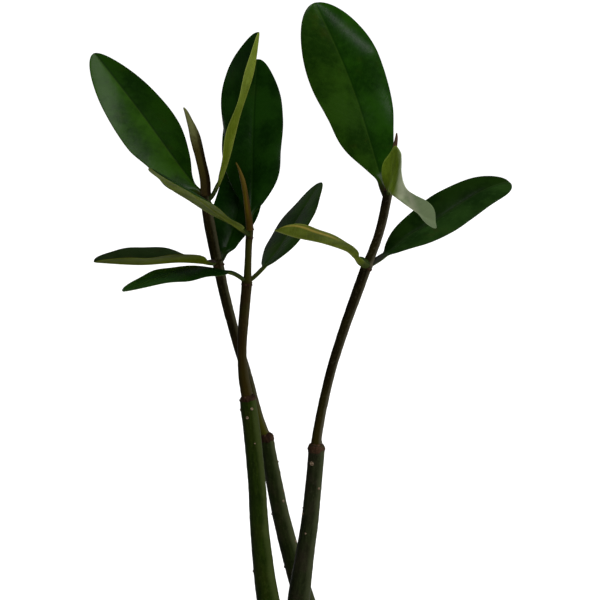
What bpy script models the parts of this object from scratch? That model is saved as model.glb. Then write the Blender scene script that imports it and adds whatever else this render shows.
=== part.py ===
# Three mangrove seedlings standing together in a plain clay pot.
# The origin is the middle of the pot's underside, +Z is up, and -Y is the side that the viewer sees.
# Lengths are written in millimetres and become metres where a mesh or a curve is made.

import math
import random

import bmesh
import bpy
from mathutils import Matrix, Vector, noise

MM = 0.001
GAP = 0.3

# Pot: its outline is turned about the Z axis
POT_HEIGHT = 108
POT_TOP_RADIUS = 65
POT_BASE_RADIUS = 45
POT_WALL = 5.5
POT_FLOOR = 8
POT_BAND_HEIGHT = 25
POT_BAND_DEPTH = 3.5
POT_LIP_ROUND = 2.2
POT_CORNER_ROUND = 3
POT_EDGE_ROUND = 1.3
POT_STEPS = 40
DRAIN_HOLES = 4
DRAIN_HOLE_RADIUS = 4
DRAIN_HOLE_RING = 24
DRAIN_HOLE_SIDES = 14

# Soil: fills the pot to a little below the lip, with a gently lumpy top
SOIL_TOP = 97
SOIL_LUMP_HEIGHT = 2.4
SOIL_LUMP_SIZE = 17
SOIL_RINGS = 8
SOIL_HOLLOW_AT_EDGE = 1.5

# Round pieces: their sides, and the steps between two of their points
PATH_STEPS = 2
HYPOCOTYL_SIDES = 12
STEM_SIDES = 10
BUD_SIDES = 10

# Lenticels: low corky domes on the hypocotyls, from a little above the soil to the collar
LENTICELS_EACH = 13
LENTICEL_RADIUS = 0.75
LENTICEL_HEIGHT = 0.45
LENTICEL_DEPTH = 0.25
LENTICELS_START = SOIL_TOP + 12
GOLDEN_ANGLE = math.radians(137.5)

# Leaves: stations along a blade, columns across half of it, and what all leaves share
LEAF_PATH_STEPS = 12
BLADE_STATIONS = 13
BLADE_FOOT = 0.02
BLADE_END_REACH = 0.7
HALF_COLUMNS = (0.09, 0.4, 0.74, 1.0)
BLADE_THICKNESS = 0.9
STALK_RADIUS = 1.15
RIB_DEPTH = 0.9
FULLNESS = (0.95, 0.58)
WIDEST = 0.52
CURL = -12

# Each seedling: points (x, y, z, radius) up each round piece, and its leaves.
# A leaf starts at the stem's lower or upper node. Its path runs on from its stalk to its tip, facing is
# the way its upper side looks and fold how many degrees each half is folded up, both from foot to tip.
# Halves are the shares of the width that each half takes, and fullness says how full its foot and tip are.
SEEDLINGS = {
    "left": {
        "hypocotyl": [
            (19.5, 16, 40, 1.6), (19, 16, 44, 3.6), (18, 15, 62, 5.6), (15.5, 14, 97, 6.1),
            (8, 12.5, 122, 5.8), (0.5, 12, 147, 5.1), (-7.8, 11, 178.5, 4.3), (-13.9, 9.5, 210, 3.7),
            (-15.2, 9, 218.5, 3.5), (-15.7, 9, 221.5, 3.4),
        ],
        "stem": [
            (-15.9, 9, 222.6, 2.6), (-17.6, 8.8, 226.8, 2.35), (-20.5, 8, 236, 2.3), (-25.4, 6.5, 254.3, 2.3),
            (-30.8, 5.5, 272.2, 2.3), (-36.5, 5, 295, 2.4), (-39.4, 5, 309.5, 2.5), (-39.8, 5, 311.5, 2.8),
            (-40.3, 5, 313.5, 2.3), (-43.3, 4.5, 330.3, 2.3), (-45.3, 4, 342.5, 2.5), (-45.6, 4, 345.5, 2.6),
        ],
        "bud": [
            (-45.7, 4, 346.2, 2.6), (-45.8, 4, 353, 2.3), (-47.6, 4, 362.7, 2.2), (-50, 4, 372.6, 2.4),
            (-51.2, 4, 377.6, 2), (-53.2, 4, 382.5, 1.3), (-55.4, 4, 387, 0.7), (-56.4, 4, 388.6, 0.3),
        ],
        "nodes": {"lower": (-39.8, 5, 311.5, 2.8), "upper": (-45.3, 4, 342.5, 2.5)},
        "leaves": {
            "lower_left": {
                "path": [(-43.5, 1.8, 311.5), (-58, -6, 313.5), (-76.5, -15, 313), (-97.5, -26, 314.5)],
                "facing": [(0.05, 0, 1), (0, 0, 1)],
                "fold_left": [55, 22, 21, 21], "fold_right": [15, 28, 32, 30],
                "width": 27, "stalk": 5,
            },
            "lower_right": {
                "path": [(-36.5, 10, 317), (-32, 17, 330), (-28.5, 25, 347.5), (-24, 34, 373.5)],
                "facing": [(-0.23, -0.82, 0.52), (-0.33, -0.87, 0.36)],
                "fold_left": [10, 10], "fold_right": [10, 10],
                "width": 26.5, "stalk": 6, "fullness": (0.85, 0.6), "widest": 0.47,
            },
            "upper_left": {
                "path": [(-51, 7, 349.5), (-62, 14, 362.5), (-83, 26, 389), (-106, 38, 418)],
                "facing": [(0.15, -0.81, 0.57), (0.34, -0.74, 0.58)],
                "fold_left": [8, 8], "fold_right": [8, 8],
                "width": 32.5, "stalk": 7, "fullness": (0.85, 0.55),
            },
            "upper_right": {
                "path": [
                    (-41, 2, 347), (-33.5, -1, 362.5), (-26.5, -6, 384.5),
                    (-21, -10, 404.5), (-18.5, -13, 424),
                ],
                "facing": [(-0.97, 0.25, 0.1), (-0.85, -0.52, 0)],
                "fold_left": [28, 43], "fold_right": [28, 43],
                "width": 31, "stalk": 6,
            },
        },
    },
    "middle": {
        "hypocotyl": [
            (-9, -9, 36, 1.6), (-9, -9, 40, 3.8), (-9, -9, 58, 6), (-10, -9, 97, 6.6),
            (-12.5, -8.5, 128, 6), (-16, -8, 152.5, 5.2), (-18.6, -8, 178, 4.5), (-20, -8, 203.5, 4.1),
            (-22.4, -8, 229, 4), (-23.6, -8, 239, 4), (-24.2, -8, 244.6, 3.8),
        ],
        "stem": [
            (-24.4, -8, 245.4, 2.8), (-25.9, -8, 254, 2.4), (-27, -8, 264, 2), (-27, -8, 271.3, 1.9),
            (-26.7, -8, 279, 2), (-25.4, -8, 293.7, 2.2), (-24.8, -8, 301, 2.4), (-24.6, -8, 303, 2.7),
            (-24.4, -8, 305, 2), (-23.9, -8, 318.4, 1.7), (-23.4, -8, 326, 1.9), (-23.3, -8, 328.6, 1.8),
        ],
        "bud": [
            (-23.3, -8, 329.2, 1.8), (-24.3, -8, 338, 1.5), (-25.7, -8, 348, 1.2), (-26.8, -8, 353, 1.1),
            (-28.3, -8, 357.7, 0.6), (-29.9, -8, 361.2, 0.3),
        ],
        "nodes": {"lower": (-24.6, -8, 303, 2.7), "upper": (-23.4, -8, 326, 1.9)},
        "leaves": {
            "lower_left": {
                "path": [(-32, -13, 307), (-44.5, -23, 309.5), (-62, -38, 308), (-80.5, -52, 301.5)],
                "facing": [(0, -0.1, 1), (0, -0.1, 1)],
                "fold_left": [-8, -2, 14], "fold_right": [3, 4, 6],
                "width": 26, "stalk": 7,
            },
            "lower_right": {
                "path": [(-19.5, -6, 308), (-10.5, 1, 319), (1.5, 11, 334.5), (12, 20, 349.5)],
                "facing": [(-0.6, -0.35, 0.72), (-0.66, -0.35, 0.67)],
                "fold_left": [8, 8], "fold_right": [8, 8],
                "width": 26, "stalk": 7,
            },
            "upper_left": {
                "path": [(-26.5, -14, 328.5), (-39, -30, 337.5), (-51, -48, 347.5), (-65, -70, 358)],
                "facing": [(0.55, 0.1, 0.83), (0.55, 0.1, 0.83)],
                "fold_left": [14, 4, 2, -6], "fold_right": [2, -2, -2, 0],
                "width": 28, "stalk": 4, "fullness": (0.6, 0.6),
            },
            "upper_right": {
                "path": [
                    (-23, -3, 333.5), (-22.5, 5, 348), (-22.5, 18, 373),
                    (-22, 27, 393.5), (-20.5, 34, 415),
                ],
                "facing": [(-0.21, -0.85, 0.48), (-0.37, -0.88, 0.31)],
                "fold_left": [8, 8], "fold_right": [8, 8],
                "width": 32.5, "stalk": 7, "fullness": (0.95, 0.53),
            },
        },
    },
    "right": {
        "hypocotyl": [
            (0, 6.5, 42, 1.6), (0, 6.5, 46, 3.8), (0, 6, 62, 6), (1, 4, 97, 6.6),
            (0, 0, 122, 6.3), (0.9, -4, 141.5, 5.7), (3.6, -4.5, 161.6, 4.7), (6.6, -5, 182.3, 4.1),
            (8.6, -5.5, 202.8, 3.85), (9.8, -6, 215.6, 4), (9.8, -6, 219.4, 4.2), (9.8, -6, 221, 4),
        ],
        "stem": [
            (9.8, -6, 221.8, 2.6), (10, -6, 225, 2.2), (12.6, -6, 238.4, 2.15), (17.2, -6, 258.5, 2.2),
            (23.4, -6.5, 278.6, 2.3), (30.4, -7, 298.6, 2.4), (34, -7, 309, 2.5), (34.8, -7, 311, 2.8),
            (35.6, -7, 313.2, 2.1), (39.5, -7.3, 323.3, 1.9), (42.2, -7.6, 333.2, 1.8), (44.5, -8, 345.5, 2),
            (44.8, -8, 347.6, 2),
        ],
        "bud": [
            (45, -8, 348.3, 1.9), (46.6, -7.5, 357.7, 1.5), (47.8, -7, 367.5, 1.2), (48.7, -7, 372.5, 0.8),
            (48.9, -7, 375.7, 0.3),
        ],
        "nodes": {"lower": (34.8, -7, 311, 2.8), "upper": (44.5, -8, 345.5, 2)},
        "leaves": {
            "lower_left": {
                "path": [
                    (28.5, -17, 315.5), (24, -27, 319.5), (12, -44, 324),
                    (0, -58, 327), (-9.5, -71, 330.5),
                ],
                "facing": [(0.1, 0, 1), (0.1, 0, 1)],
                "fold_left": [2, 20, 24], "fold_right": [6, 22, 26],
                "width": 25.5, "stalk": 12, "fullness": (1.6, 0.55), "widest": 0.62,
            },
            "lower_right": {
                "path": [
                    (43, -4, 315.5), (55.5, 2, 324.5), (73.5, 8, 334.5),
                    (94, 16, 346), (108.5, 22, 350.5),
                ],
                "facing": [(-0.29, -0.56, 0.78), (-0.05, -0.58, 0.81)],
                "fold_left": [10, 10], "fold_right": [10, 10],
                "width": 31, "stalk": 9, "fullness": (0.9, 0.48),
            },
            "upper_left": {
                "path": [(40.5, -4, 353), (35, 3, 375.5), (28.5, 10, 396.5), (19.5, 15, 419), (9, 20, 441.5)],
                "facing": [(0.08, -0.95, 0.31), (0.18, -0.94, 0.29)],
                "fold_left": [6, 6], "fold_right": [6, 6],
                "width": 38.5, "stalk": 5, "fullness": (0.72, 0.5), "widest": 0.57,
            },
            "upper_right": {
                "path": [
                    (45, -13, 347.5), (44.5, -24, 348.5), (44.5, -37, 347),
                    (46.5, -48, 345), (53, -58, 339.5), (62, -68, 333),
                ],
                "facing": [(0.15, 0.2, 1), (0.15, 0.2, 1), (0.76, 0, 0.65)],
                "fold_left": [50, 60, 60, 15, 8], "fold_right": [75, 87, 82, 36, 15],
                "width": 38, "stalk": 4, "fullness": (0.9, 0.42), "widest": 0.31, "halves": (0.25, 1),
            },
        },
    },
}

CLAY = ("clay", (0.42, 0.17, 0.09), 0.85)
EARTH = ("earth", (0.035, 0.022, 0.014), 0.95)
GREEN_BARK = ("green_bark", (0.035, 0.055, 0.018), 0.55)
BROWN_BARK = ("brown_bark", (0.035, 0.022, 0.012), 0.6)
BUD_SHEATH = ("bud_sheath", (0.13, 0.09, 0.02), 0.5)
LEAF_GREEN = ("leaf_green", (0.012, 0.045, 0.006), 0.4)


def clear_scene():
    for old in list(bpy.data.objects):
        bpy.data.objects.remove(old)


def new_collection(name):
    collection = bpy.data.collections.new(name)
    bpy.context.scene.collection.children.link(collection)
    return collection


def give_material(obj, finish):
    name, colour, roughness = finish
    material = bpy.data.materials.new(f"{name}_{obj.name}")
    material.use_nodes = True
    shader = material.node_tree.nodes["Principled BSDF"]
    shader.inputs["Base Color"].default_value = (*colour, 1)
    shader.inputs["Roughness"].default_value = roughness
    shader.inputs["Metallic"].default_value = 0
    obj.data.materials.clear()
    obj.data.materials.append(material)


def add_object(name, data, collection):
    obj = bpy.data.objects.new(name, data)
    collection.objects.link(obj)
    return obj


def mesh_of(obj):
    """The mesh that the viewport evaluates for this object, its caps welded."""
    bpy.context.view_layer.update()
    evaluated = obj.evaluated_get(bpy.context.evaluated_depsgraph_get())
    mesh = bpy.data.meshes.new_from_object(evaluated)
    shape = bmesh.new()
    shape.from_mesh(mesh)
    bmesh.ops.remove_doubles(shape, verts=shape.verts, dist=0.00001)
    shape.to_mesh(mesh)
    shape.free()
    return mesh


def applied(obj, collection):
    """A plain mesh object in place of one whose modifiers or curve make its shape."""
    name = obj.name
    mesh = mesh_of(obj)
    mesh.name = name
    bpy.data.objects.remove(obj)
    return add_object(name, mesh, collection)


def hide_as_cutter(obj):
    obj.hide_render = True
    obj.display_type = "WIRE"


def smooth_path(points, steps):
    """Points on the smooth curve through these ones. Each may carry more numbers than its place."""
    path = []
    last = len(points) - 1
    for i in range(last):
        before, start, end, after = (points[min(max(k, 0), last)] for k in (i - 1, i, i + 1, i + 2))
        for step in range(steps):
            t = step / steps
            path.append(tuple(
                b + 0.5 * t * (c - a + t * (2 * a - 5 * b + 4 * c - d + t * (3 * b - a - 3 * c + d)))
                for a, b, c, d in zip(before, start, end, after)
            ))
    path.append(tuple(points[-1]))
    return path


def tube(name, points, sides, collection, grown=0.0):
    """A closed tube whose points hold their own radius, as a mesh."""
    curve = bpy.data.curves.new(name, "CURVE")
    curve.dimensions = "3D"
    curve.bevel_depth = MM
    curve.bevel_resolution = sides // 2 - 2
    curve.use_fill_caps = True
    spline = curve.splines.new("POLY")
    spline.points.add(len(points) - 1)
    for point, (x, y, z, radius) in zip(spline.points, points):
        point.co = (x * MM, y * MM, z * MM, 1)
        point.radius = radius + grown
    obj = applied(add_object(name, curve, collection), collection)
    obj.data.shade_smooth()
    return obj


def turned(name, profile, collection):
    """A solid turned about the Z axis from (radius, height) points that run down its outer side."""
    mesh = bpy.data.meshes.new(name)
    mesh.from_pydata(
        [(radius * MM, 0, height * MM) for radius, height in profile],
        [(i, i + 1) for i in range(len(profile) - 1)],
        [],
    )
    obj = add_object(name, mesh, collection)
    screw = obj.modifiers.new("turn", "SCREW")
    screw.steps = screw.render_steps = POT_STEPS
    screw.use_merge_vertices = True
    screw.merge_threshold = 0.0001
    return obj


def inner_radius(height):
    """The radius of the pot's inside at this height."""
    outer_slope = (POT_TOP_RADIUS - POT_BAND_DEPTH - POT_BASE_RADIUS) / POT_HEIGHT
    return POT_BASE_RADIUS + outer_slope * height - POT_WALL


def make_pot(parts, cutters):
    top_inner = inner_radius(POT_HEIGHT)
    lip_middle = (POT_TOP_RADIUS + top_inner) / 2
    lip_half = (POT_TOP_RADIUS - top_inner) / 2
    lip = [
        (lip_middle - lip_half * math.cos(a), POT_HEIGHT - POT_LIP_ROUND * (1 - math.sin(a)))
        for a in (math.radians(step * 30) for step in range(7))
    ]
    band_foot = POT_HEIGHT - POT_BAND_HEIGHT
    body_at_band = inner_radius(band_foot) + POT_WALL
    corner = POT_FLOOR + POT_CORNER_ROUND
    profile = [
        (0, POT_FLOOR), (inner_radius(POT_FLOOR) - POT_CORNER_ROUND, POT_FLOOR), (inner_radius(corner), corner),
    ]
    profile += lip
    profile += [
        (POT_TOP_RADIUS - 0.8, band_foot + POT_EDGE_ROUND), (POT_TOP_RADIUS - 0.8 - POT_EDGE_ROUND, band_foot),
        (body_at_band + 0.8, band_foot - 0.8), (body_at_band, band_foot - 2.5),
        (POT_BASE_RADIUS + 0.3, POT_EDGE_ROUND), (POT_BASE_RADIUS - POT_EDGE_ROUND, 0), (0, 0),
    ]
    pot = turned("pot", profile, parts)
    drains = new_collection("drain_holes")
    cutters.children.link(drains)
    bpy.context.scene.collection.children.unlink(drains)
    for i in range(DRAIN_HOLES):
        angle = math.tau * (i + 0.5) / DRAIN_HOLES
        bpy.ops.mesh.primitive_cylinder_add(
            vertices=DRAIN_HOLE_SIDES, radius=DRAIN_HOLE_RADIUS * MM, depth=3 * POT_FLOOR * MM,
            location=(DRAIN_HOLE_RING * math.cos(angle) * MM, DRAIN_HOLE_RING * math.sin(angle) * MM, 0),
        )
        drain = bpy.context.object
        drain.name = f"drain_hole_{i + 1}"
        for holder in list(drain.users_collection):
            holder.objects.unlink(drain)
        drains.objects.link(drain)
        hide_as_cutter(drain)
    cut = pot.modifiers.new("drain holes", "BOOLEAN")
    cut.operation = "DIFFERENCE"
    cut.operand_type = "COLLECTION"
    cut.collection = drains
    pot = applied(pot, parts)
    pot.data.shade_smooth()
    pot.data.set_sharp_from_angle(angle=math.radians(40))
    give_material(pot, CLAY)


def soil_height(x, y):
    """The height of the soil's top at this place, in millimetres."""
    lump = noise.fractal(Vector((x / SOIL_LUMP_SIZE, y / SOIL_LUMP_SIZE, 3.7)), 0.8, 2.0, 3)
    edge = math.hypot(x, y) / inner_radius(SOIL_TOP)
    return SOIL_TOP + SOIL_LUMP_HEIGHT * lump - SOIL_HOLLOW_AT_EDGE * edge ** 6


def make_soil(parts, cutters):
    side = inner_radius(SOIL_TOP) - GAP
    top = [(side * ring / SOIL_RINGS, SOIL_TOP) for ring in range(SOIL_RINGS + 1)]
    bottom = POT_FLOOR + GAP
    corner = bottom + POT_CORNER_ROUND + GAP
    profile = top + [
        (inner_radius(corner) - GAP, corner), (inner_radius(bottom) - POT_CORNER_ROUND - GAP, bottom), (0, bottom),
    ]
    soil = applied(turned("soil", profile, parts), parts)
    for vertex in soil.data.vertices:
        x, y, z = vertex.co / MM
        if z > SOIL_TOP - 0.01:
            vertex.co.z = soil_height(x, y) * MM
    holes = new_collection("stem_holes")
    cutters.children.link(holes)
    bpy.context.scene.collection.children.unlink(holes)
    for name, seedling in SEEDLINGS.items():
        points = [p for p in smooth_path(seedling["hypocotyl"], PATH_STEPS) if p[2] < SOIL_TOP + 30]
        x, y, z, radius = points[0]
        points[0] = (x, y, z - GAP, radius)
        hole = tube(f"{name}_hole", points, HYPOCOTYL_SIDES, holes, grown=GAP)
        hide_as_cutter(hole)
    cut = soil.modifiers.new("stem holes", "BOOLEAN")
    cut.operation = "DIFFERENCE"
    cut.operand_type = "COLLECTION"
    cut.collection = holes
    soil = applied(soil, parts)
    soil.data.shade_smooth()
    soil.data.set_sharp_from_angle(angle=math.radians(50))
    give_material(soil, EARTH)


def add_lenticels(hypocotyl, path, seed, parts):
    """Low domes wound round the hypocotyl by the golden angle, unevenly, and joined to it."""
    chance = random.Random(seed)
    domes = new_collection("lenticels")
    visible = [p for p in path if p[2] > LENTICELS_START][:-3]
    for i in range(LENTICELS_EACH):
        place = (i + chance.uniform(0.1, 0.9)) / LENTICELS_EACH * (len(visible) - 1)
        low, high = (Vector(visible[k]) for k in (int(place), int(place) + 1))
        x, y, z, radius = low.lerp(high, place % 1)
        along = (Vector(high[:3]) - Vector(low[:3])).normalized()
        angle = i * GOLDEN_ANGLE + chance.uniform(-0.5, 0.5)
        outward = Vector((math.cos(angle), math.sin(angle), 0))
        outward = (outward - along * outward.dot(along)).normalized()
        size = LENTICEL_RADIUS * chance.uniform(0.7, 1.5)
        mesh = bpy.data.meshes.new("lenticel")
        shape = bmesh.new()
        bmesh.ops.create_icosphere(shape, subdivisions=1, radius=1)
        shape.to_mesh(mesh)
        shape.free()
        dome = add_object(f"lenticel_{i}", mesh, domes)
        centre = (Vector((x, y, z)) + outward * (radius - LENTICEL_DEPTH)) * MM
        turn = outward.to_track_quat("Z", "Y").to_matrix().to_4x4()
        spread = Matrix.Diagonal((size * MM, size * MM, (LENTICEL_HEIGHT + LENTICEL_DEPTH) * MM, 1))
        dome.matrix_world = Matrix.Translation(centre) @ turn @ spread
    join = hypocotyl.modifiers.new("lenticels", "BOOLEAN")
    join.operation = "UNION"
    join.operand_type = "COLLECTION"
    join.collection = domes
    joined = applied(hypocotyl, parts)
    for dome in list(domes.objects):
        bpy.data.objects.remove(dome)
    bpy.data.collections.remove(domes)
    joined.data.shade_smooth()
    return joined


def along_list(values, t):
    """The value at t from 0 to 1 in a list of evenly spaced numbers or vectors."""
    place = t * (len(values) - 1)
    k = min(int(place), len(values) - 2)
    return values[k] + (values[k + 1] - values[k]) * (place - k)


def at_distance(path, distance):
    """The point this far along the path, and the path's direction there."""
    for a, b in zip(path, path[1:]):
        step = (b - a).length
        if distance <= step or b is path[-1]:
            return a + (b - a) * (distance / step), (b - a).normalized()
        distance -= step


def half_outline(t, leaf):
    """Half the blade's width at t from its foot to its tip. A lower fullness makes a blunter end."""
    base, tip = leaf.get("fullness", FULLNESS)
    shifted = t ** (math.log(0.5) / math.log(leaf.get("widest", WIDEST)))
    return 0.5 * leaf["width"] * math.sin(math.pi * shifted) ** (base + (tip - base) * t)


def leaf_section(centre, forward, facing, reaches, folds, rib):
    """One closed ring of points round the blade: the upper side from left to right, then the lower side."""
    facing = (facing - forward * facing.dot(forward)).normalized()
    right = forward.cross(facing)
    upper = {0: centre + facing * BLADE_THICKNESS / 2}
    lower = {0: centre - facing * (BLADE_THICKNESS / 2 + rib)}
    for side, reach, fold in zip((-1, 1), reaches, folds):
        point = centre.copy()
        reached = 0.0
        for k, column in enumerate(HALF_COLUMNS, 1):
            angle = math.radians(fold + CURL * (reached + column) / 2)
            outward = right * side * math.cos(angle) + facing * math.sin(angle)
            normal = facing * math.cos(angle) - right * side * math.sin(angle)
            point = point + outward * reach * (column - reached)
            reached = column
            upper[side * k] = point + normal * BLADE_THICKNESS / 2
            lower[side * k] = point - normal * BLADE_THICKNESS / 2
    return [upper[k] for k in sorted(upper)] + [lower[k] for k in sorted(lower)]


def stalk_section(centre, forward, facing):
    """One ring of points round the stalk, matched one to one with a blade's ring."""
    facing = (facing - forward * facing.dot(forward)).normalized()
    right = forward.cross(facing)
    columns = 2 * len(HALF_COLUMNS) + 1
    angles = [math.pi * (k + 0.5) / columns for k in range(columns)]
    upper = [right * -math.cos(a) + facing * math.sin(a) for a in angles]
    lower = [right * -math.cos(a) - facing * math.sin(a) for a in angles]
    return [centre + spoke * STALK_RADIUS for spoke in upper + lower]


def make_leaf(name, leaf, node, parts):
    """A stalk and its blade as one solid, with both faces split into triangles alike."""
    foot = Vector(node[:3])
    aim = (Vector(leaf["path"][0]) - foot).normalized()
    level = Vector((aim.x, aim.y, 0)).normalized()
    start = foot + level * (node[3] + GAP + STALK_RADIUS * abs(aim.z))
    path = [Vector(p) for p in smooth_path([tuple(start)] + leaf["path"], LEAF_PATH_STEPS)]
    length = sum((b - a).length for a, b in zip(path, path[1:]))
    blade = length - leaf["stalk"]
    facings = [Vector(f).normalized() for f in leaf["facing"]]
    rings = []
    for share in (0.0, 0.6):
        centre, forward = at_distance(path, leaf["stalk"] * share)
        rings.append(stalk_section(centre, forward, facings[0]))
    for i in range(BLADE_STATIONS):
        eased = (1 - math.cos(math.pi * i / (BLADE_STATIONS - 1))) / 2
        t = BLADE_FOOT + (1 - BLADE_FOOT) * eased
        centre, forward = at_distance(path, leaf["stalk"] + blade * t)
        reach = max(half_outline(min(t, 0.997), leaf), BLADE_END_REACH)
        reaches = [reach * share for share in leaf.get("halves", (1, 1))]
        folds = [along_list(leaf["fold_left"], t), along_list(leaf["fold_right"], t)]
        rib = RIB_DEPTH * (1 - t)
        rings.append(leaf_section(centre, forward, along_list(facings, t), reaches, folds, rib))
    columns = len(rings[0]) // 2
    faces = []
    for i in range(len(rings) - 1):
        here, there = i * 2 * columns, (i + 1) * 2 * columns
        for k in range(columns - 1):
            a, b, c, d = here + k, here + k + 1, there + k + 1, there + k
            faces += [(a, b, c), (a, c, d)]
            a, b, c, d = (corner + columns for corner in (a, b, c, d))
            faces += [(a, c, b), (a, d, c)]
        left = (here, there, there + columns, here + columns)
        right = tuple(corner + columns - 1 for corner in left)
        faces += [(left[0], left[1], left[2]), (left[0], left[2], left[3])]
        faces += [(right[0], right[2], right[1]), (right[0], right[3], right[2])]
    end = (len(rings) - 1) * 2 * columns
    for k in range(columns - 1):
        faces += [(k, columns + k, columns + k + 1), (k, columns + k + 1, k + 1)]
        faces += [(end + k, end + columns + k + 1, end + columns + k)]
        faces += [(end + k, end + k + 1, end + columns + k + 1)]
    mesh = bpy.data.meshes.new(name)
    mesh.from_pydata([point * MM for ring in rings for point in ring], [], faces)
    shape = bmesh.new()
    shape.from_mesh(mesh)
    bmesh.ops.recalc_face_normals(shape, faces=shape.faces)
    shape.to_mesh(mesh)
    shape.free()
    mesh.shade_smooth()
    mesh.set_sharp_from_angle(angle=math.radians(60))
    give_material(add_object(name, mesh, parts), LEAF_GREEN)


def make_seedling(name, seedling, seed, parts):
    path = smooth_path(seedling["hypocotyl"], PATH_STEPS)
    hypocotyl = tube(f"{name}_hypocotyl", path, HYPOCOTYL_SIDES, parts)
    give_material(add_lenticels(hypocotyl, path, seed, parts), GREEN_BARK)
    stem = tube(f"{name}_stem", smooth_path(seedling["stem"], PATH_STEPS), STEM_SIDES, parts)
    give_material(stem, BROWN_BARK)
    bud = tube(f"{name}_bud", smooth_path(seedling["bud"], PATH_STEPS), BUD_SIDES, parts)
    give_material(bud, BUD_SHEATH)
    for place, leaf in seedling["leaves"].items():
        node = seedling["nodes"][place.split("_")[0]]
        make_leaf(f"{name}_leaf_{place}", leaf, node, parts)


def main():
    clear_scene()
    parts = new_collection("potted_mangrove_seedling")
    cutters = new_collection("cutters")
    make_pot(parts, cutters)
    make_soil(parts, cutters)
    for seed, (name, seedling) in enumerate(SEEDLINGS.items(), 1):
        make_seedling(name, seedling, seed, parts)


main()
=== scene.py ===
import math
import random

import bmesh
import bpy
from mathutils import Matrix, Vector, noise


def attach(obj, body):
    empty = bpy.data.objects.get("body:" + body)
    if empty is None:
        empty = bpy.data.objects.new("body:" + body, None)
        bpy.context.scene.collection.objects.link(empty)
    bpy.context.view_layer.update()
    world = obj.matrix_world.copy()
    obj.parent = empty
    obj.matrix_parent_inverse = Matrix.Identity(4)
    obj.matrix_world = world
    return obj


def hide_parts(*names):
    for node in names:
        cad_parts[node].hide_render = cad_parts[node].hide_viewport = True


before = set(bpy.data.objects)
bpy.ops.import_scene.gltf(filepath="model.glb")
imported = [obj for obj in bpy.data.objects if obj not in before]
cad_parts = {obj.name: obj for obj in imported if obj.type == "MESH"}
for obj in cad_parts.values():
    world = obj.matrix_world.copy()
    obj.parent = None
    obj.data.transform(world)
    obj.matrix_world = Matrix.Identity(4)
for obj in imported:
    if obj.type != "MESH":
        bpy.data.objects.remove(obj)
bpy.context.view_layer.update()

mm = 0.001

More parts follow.
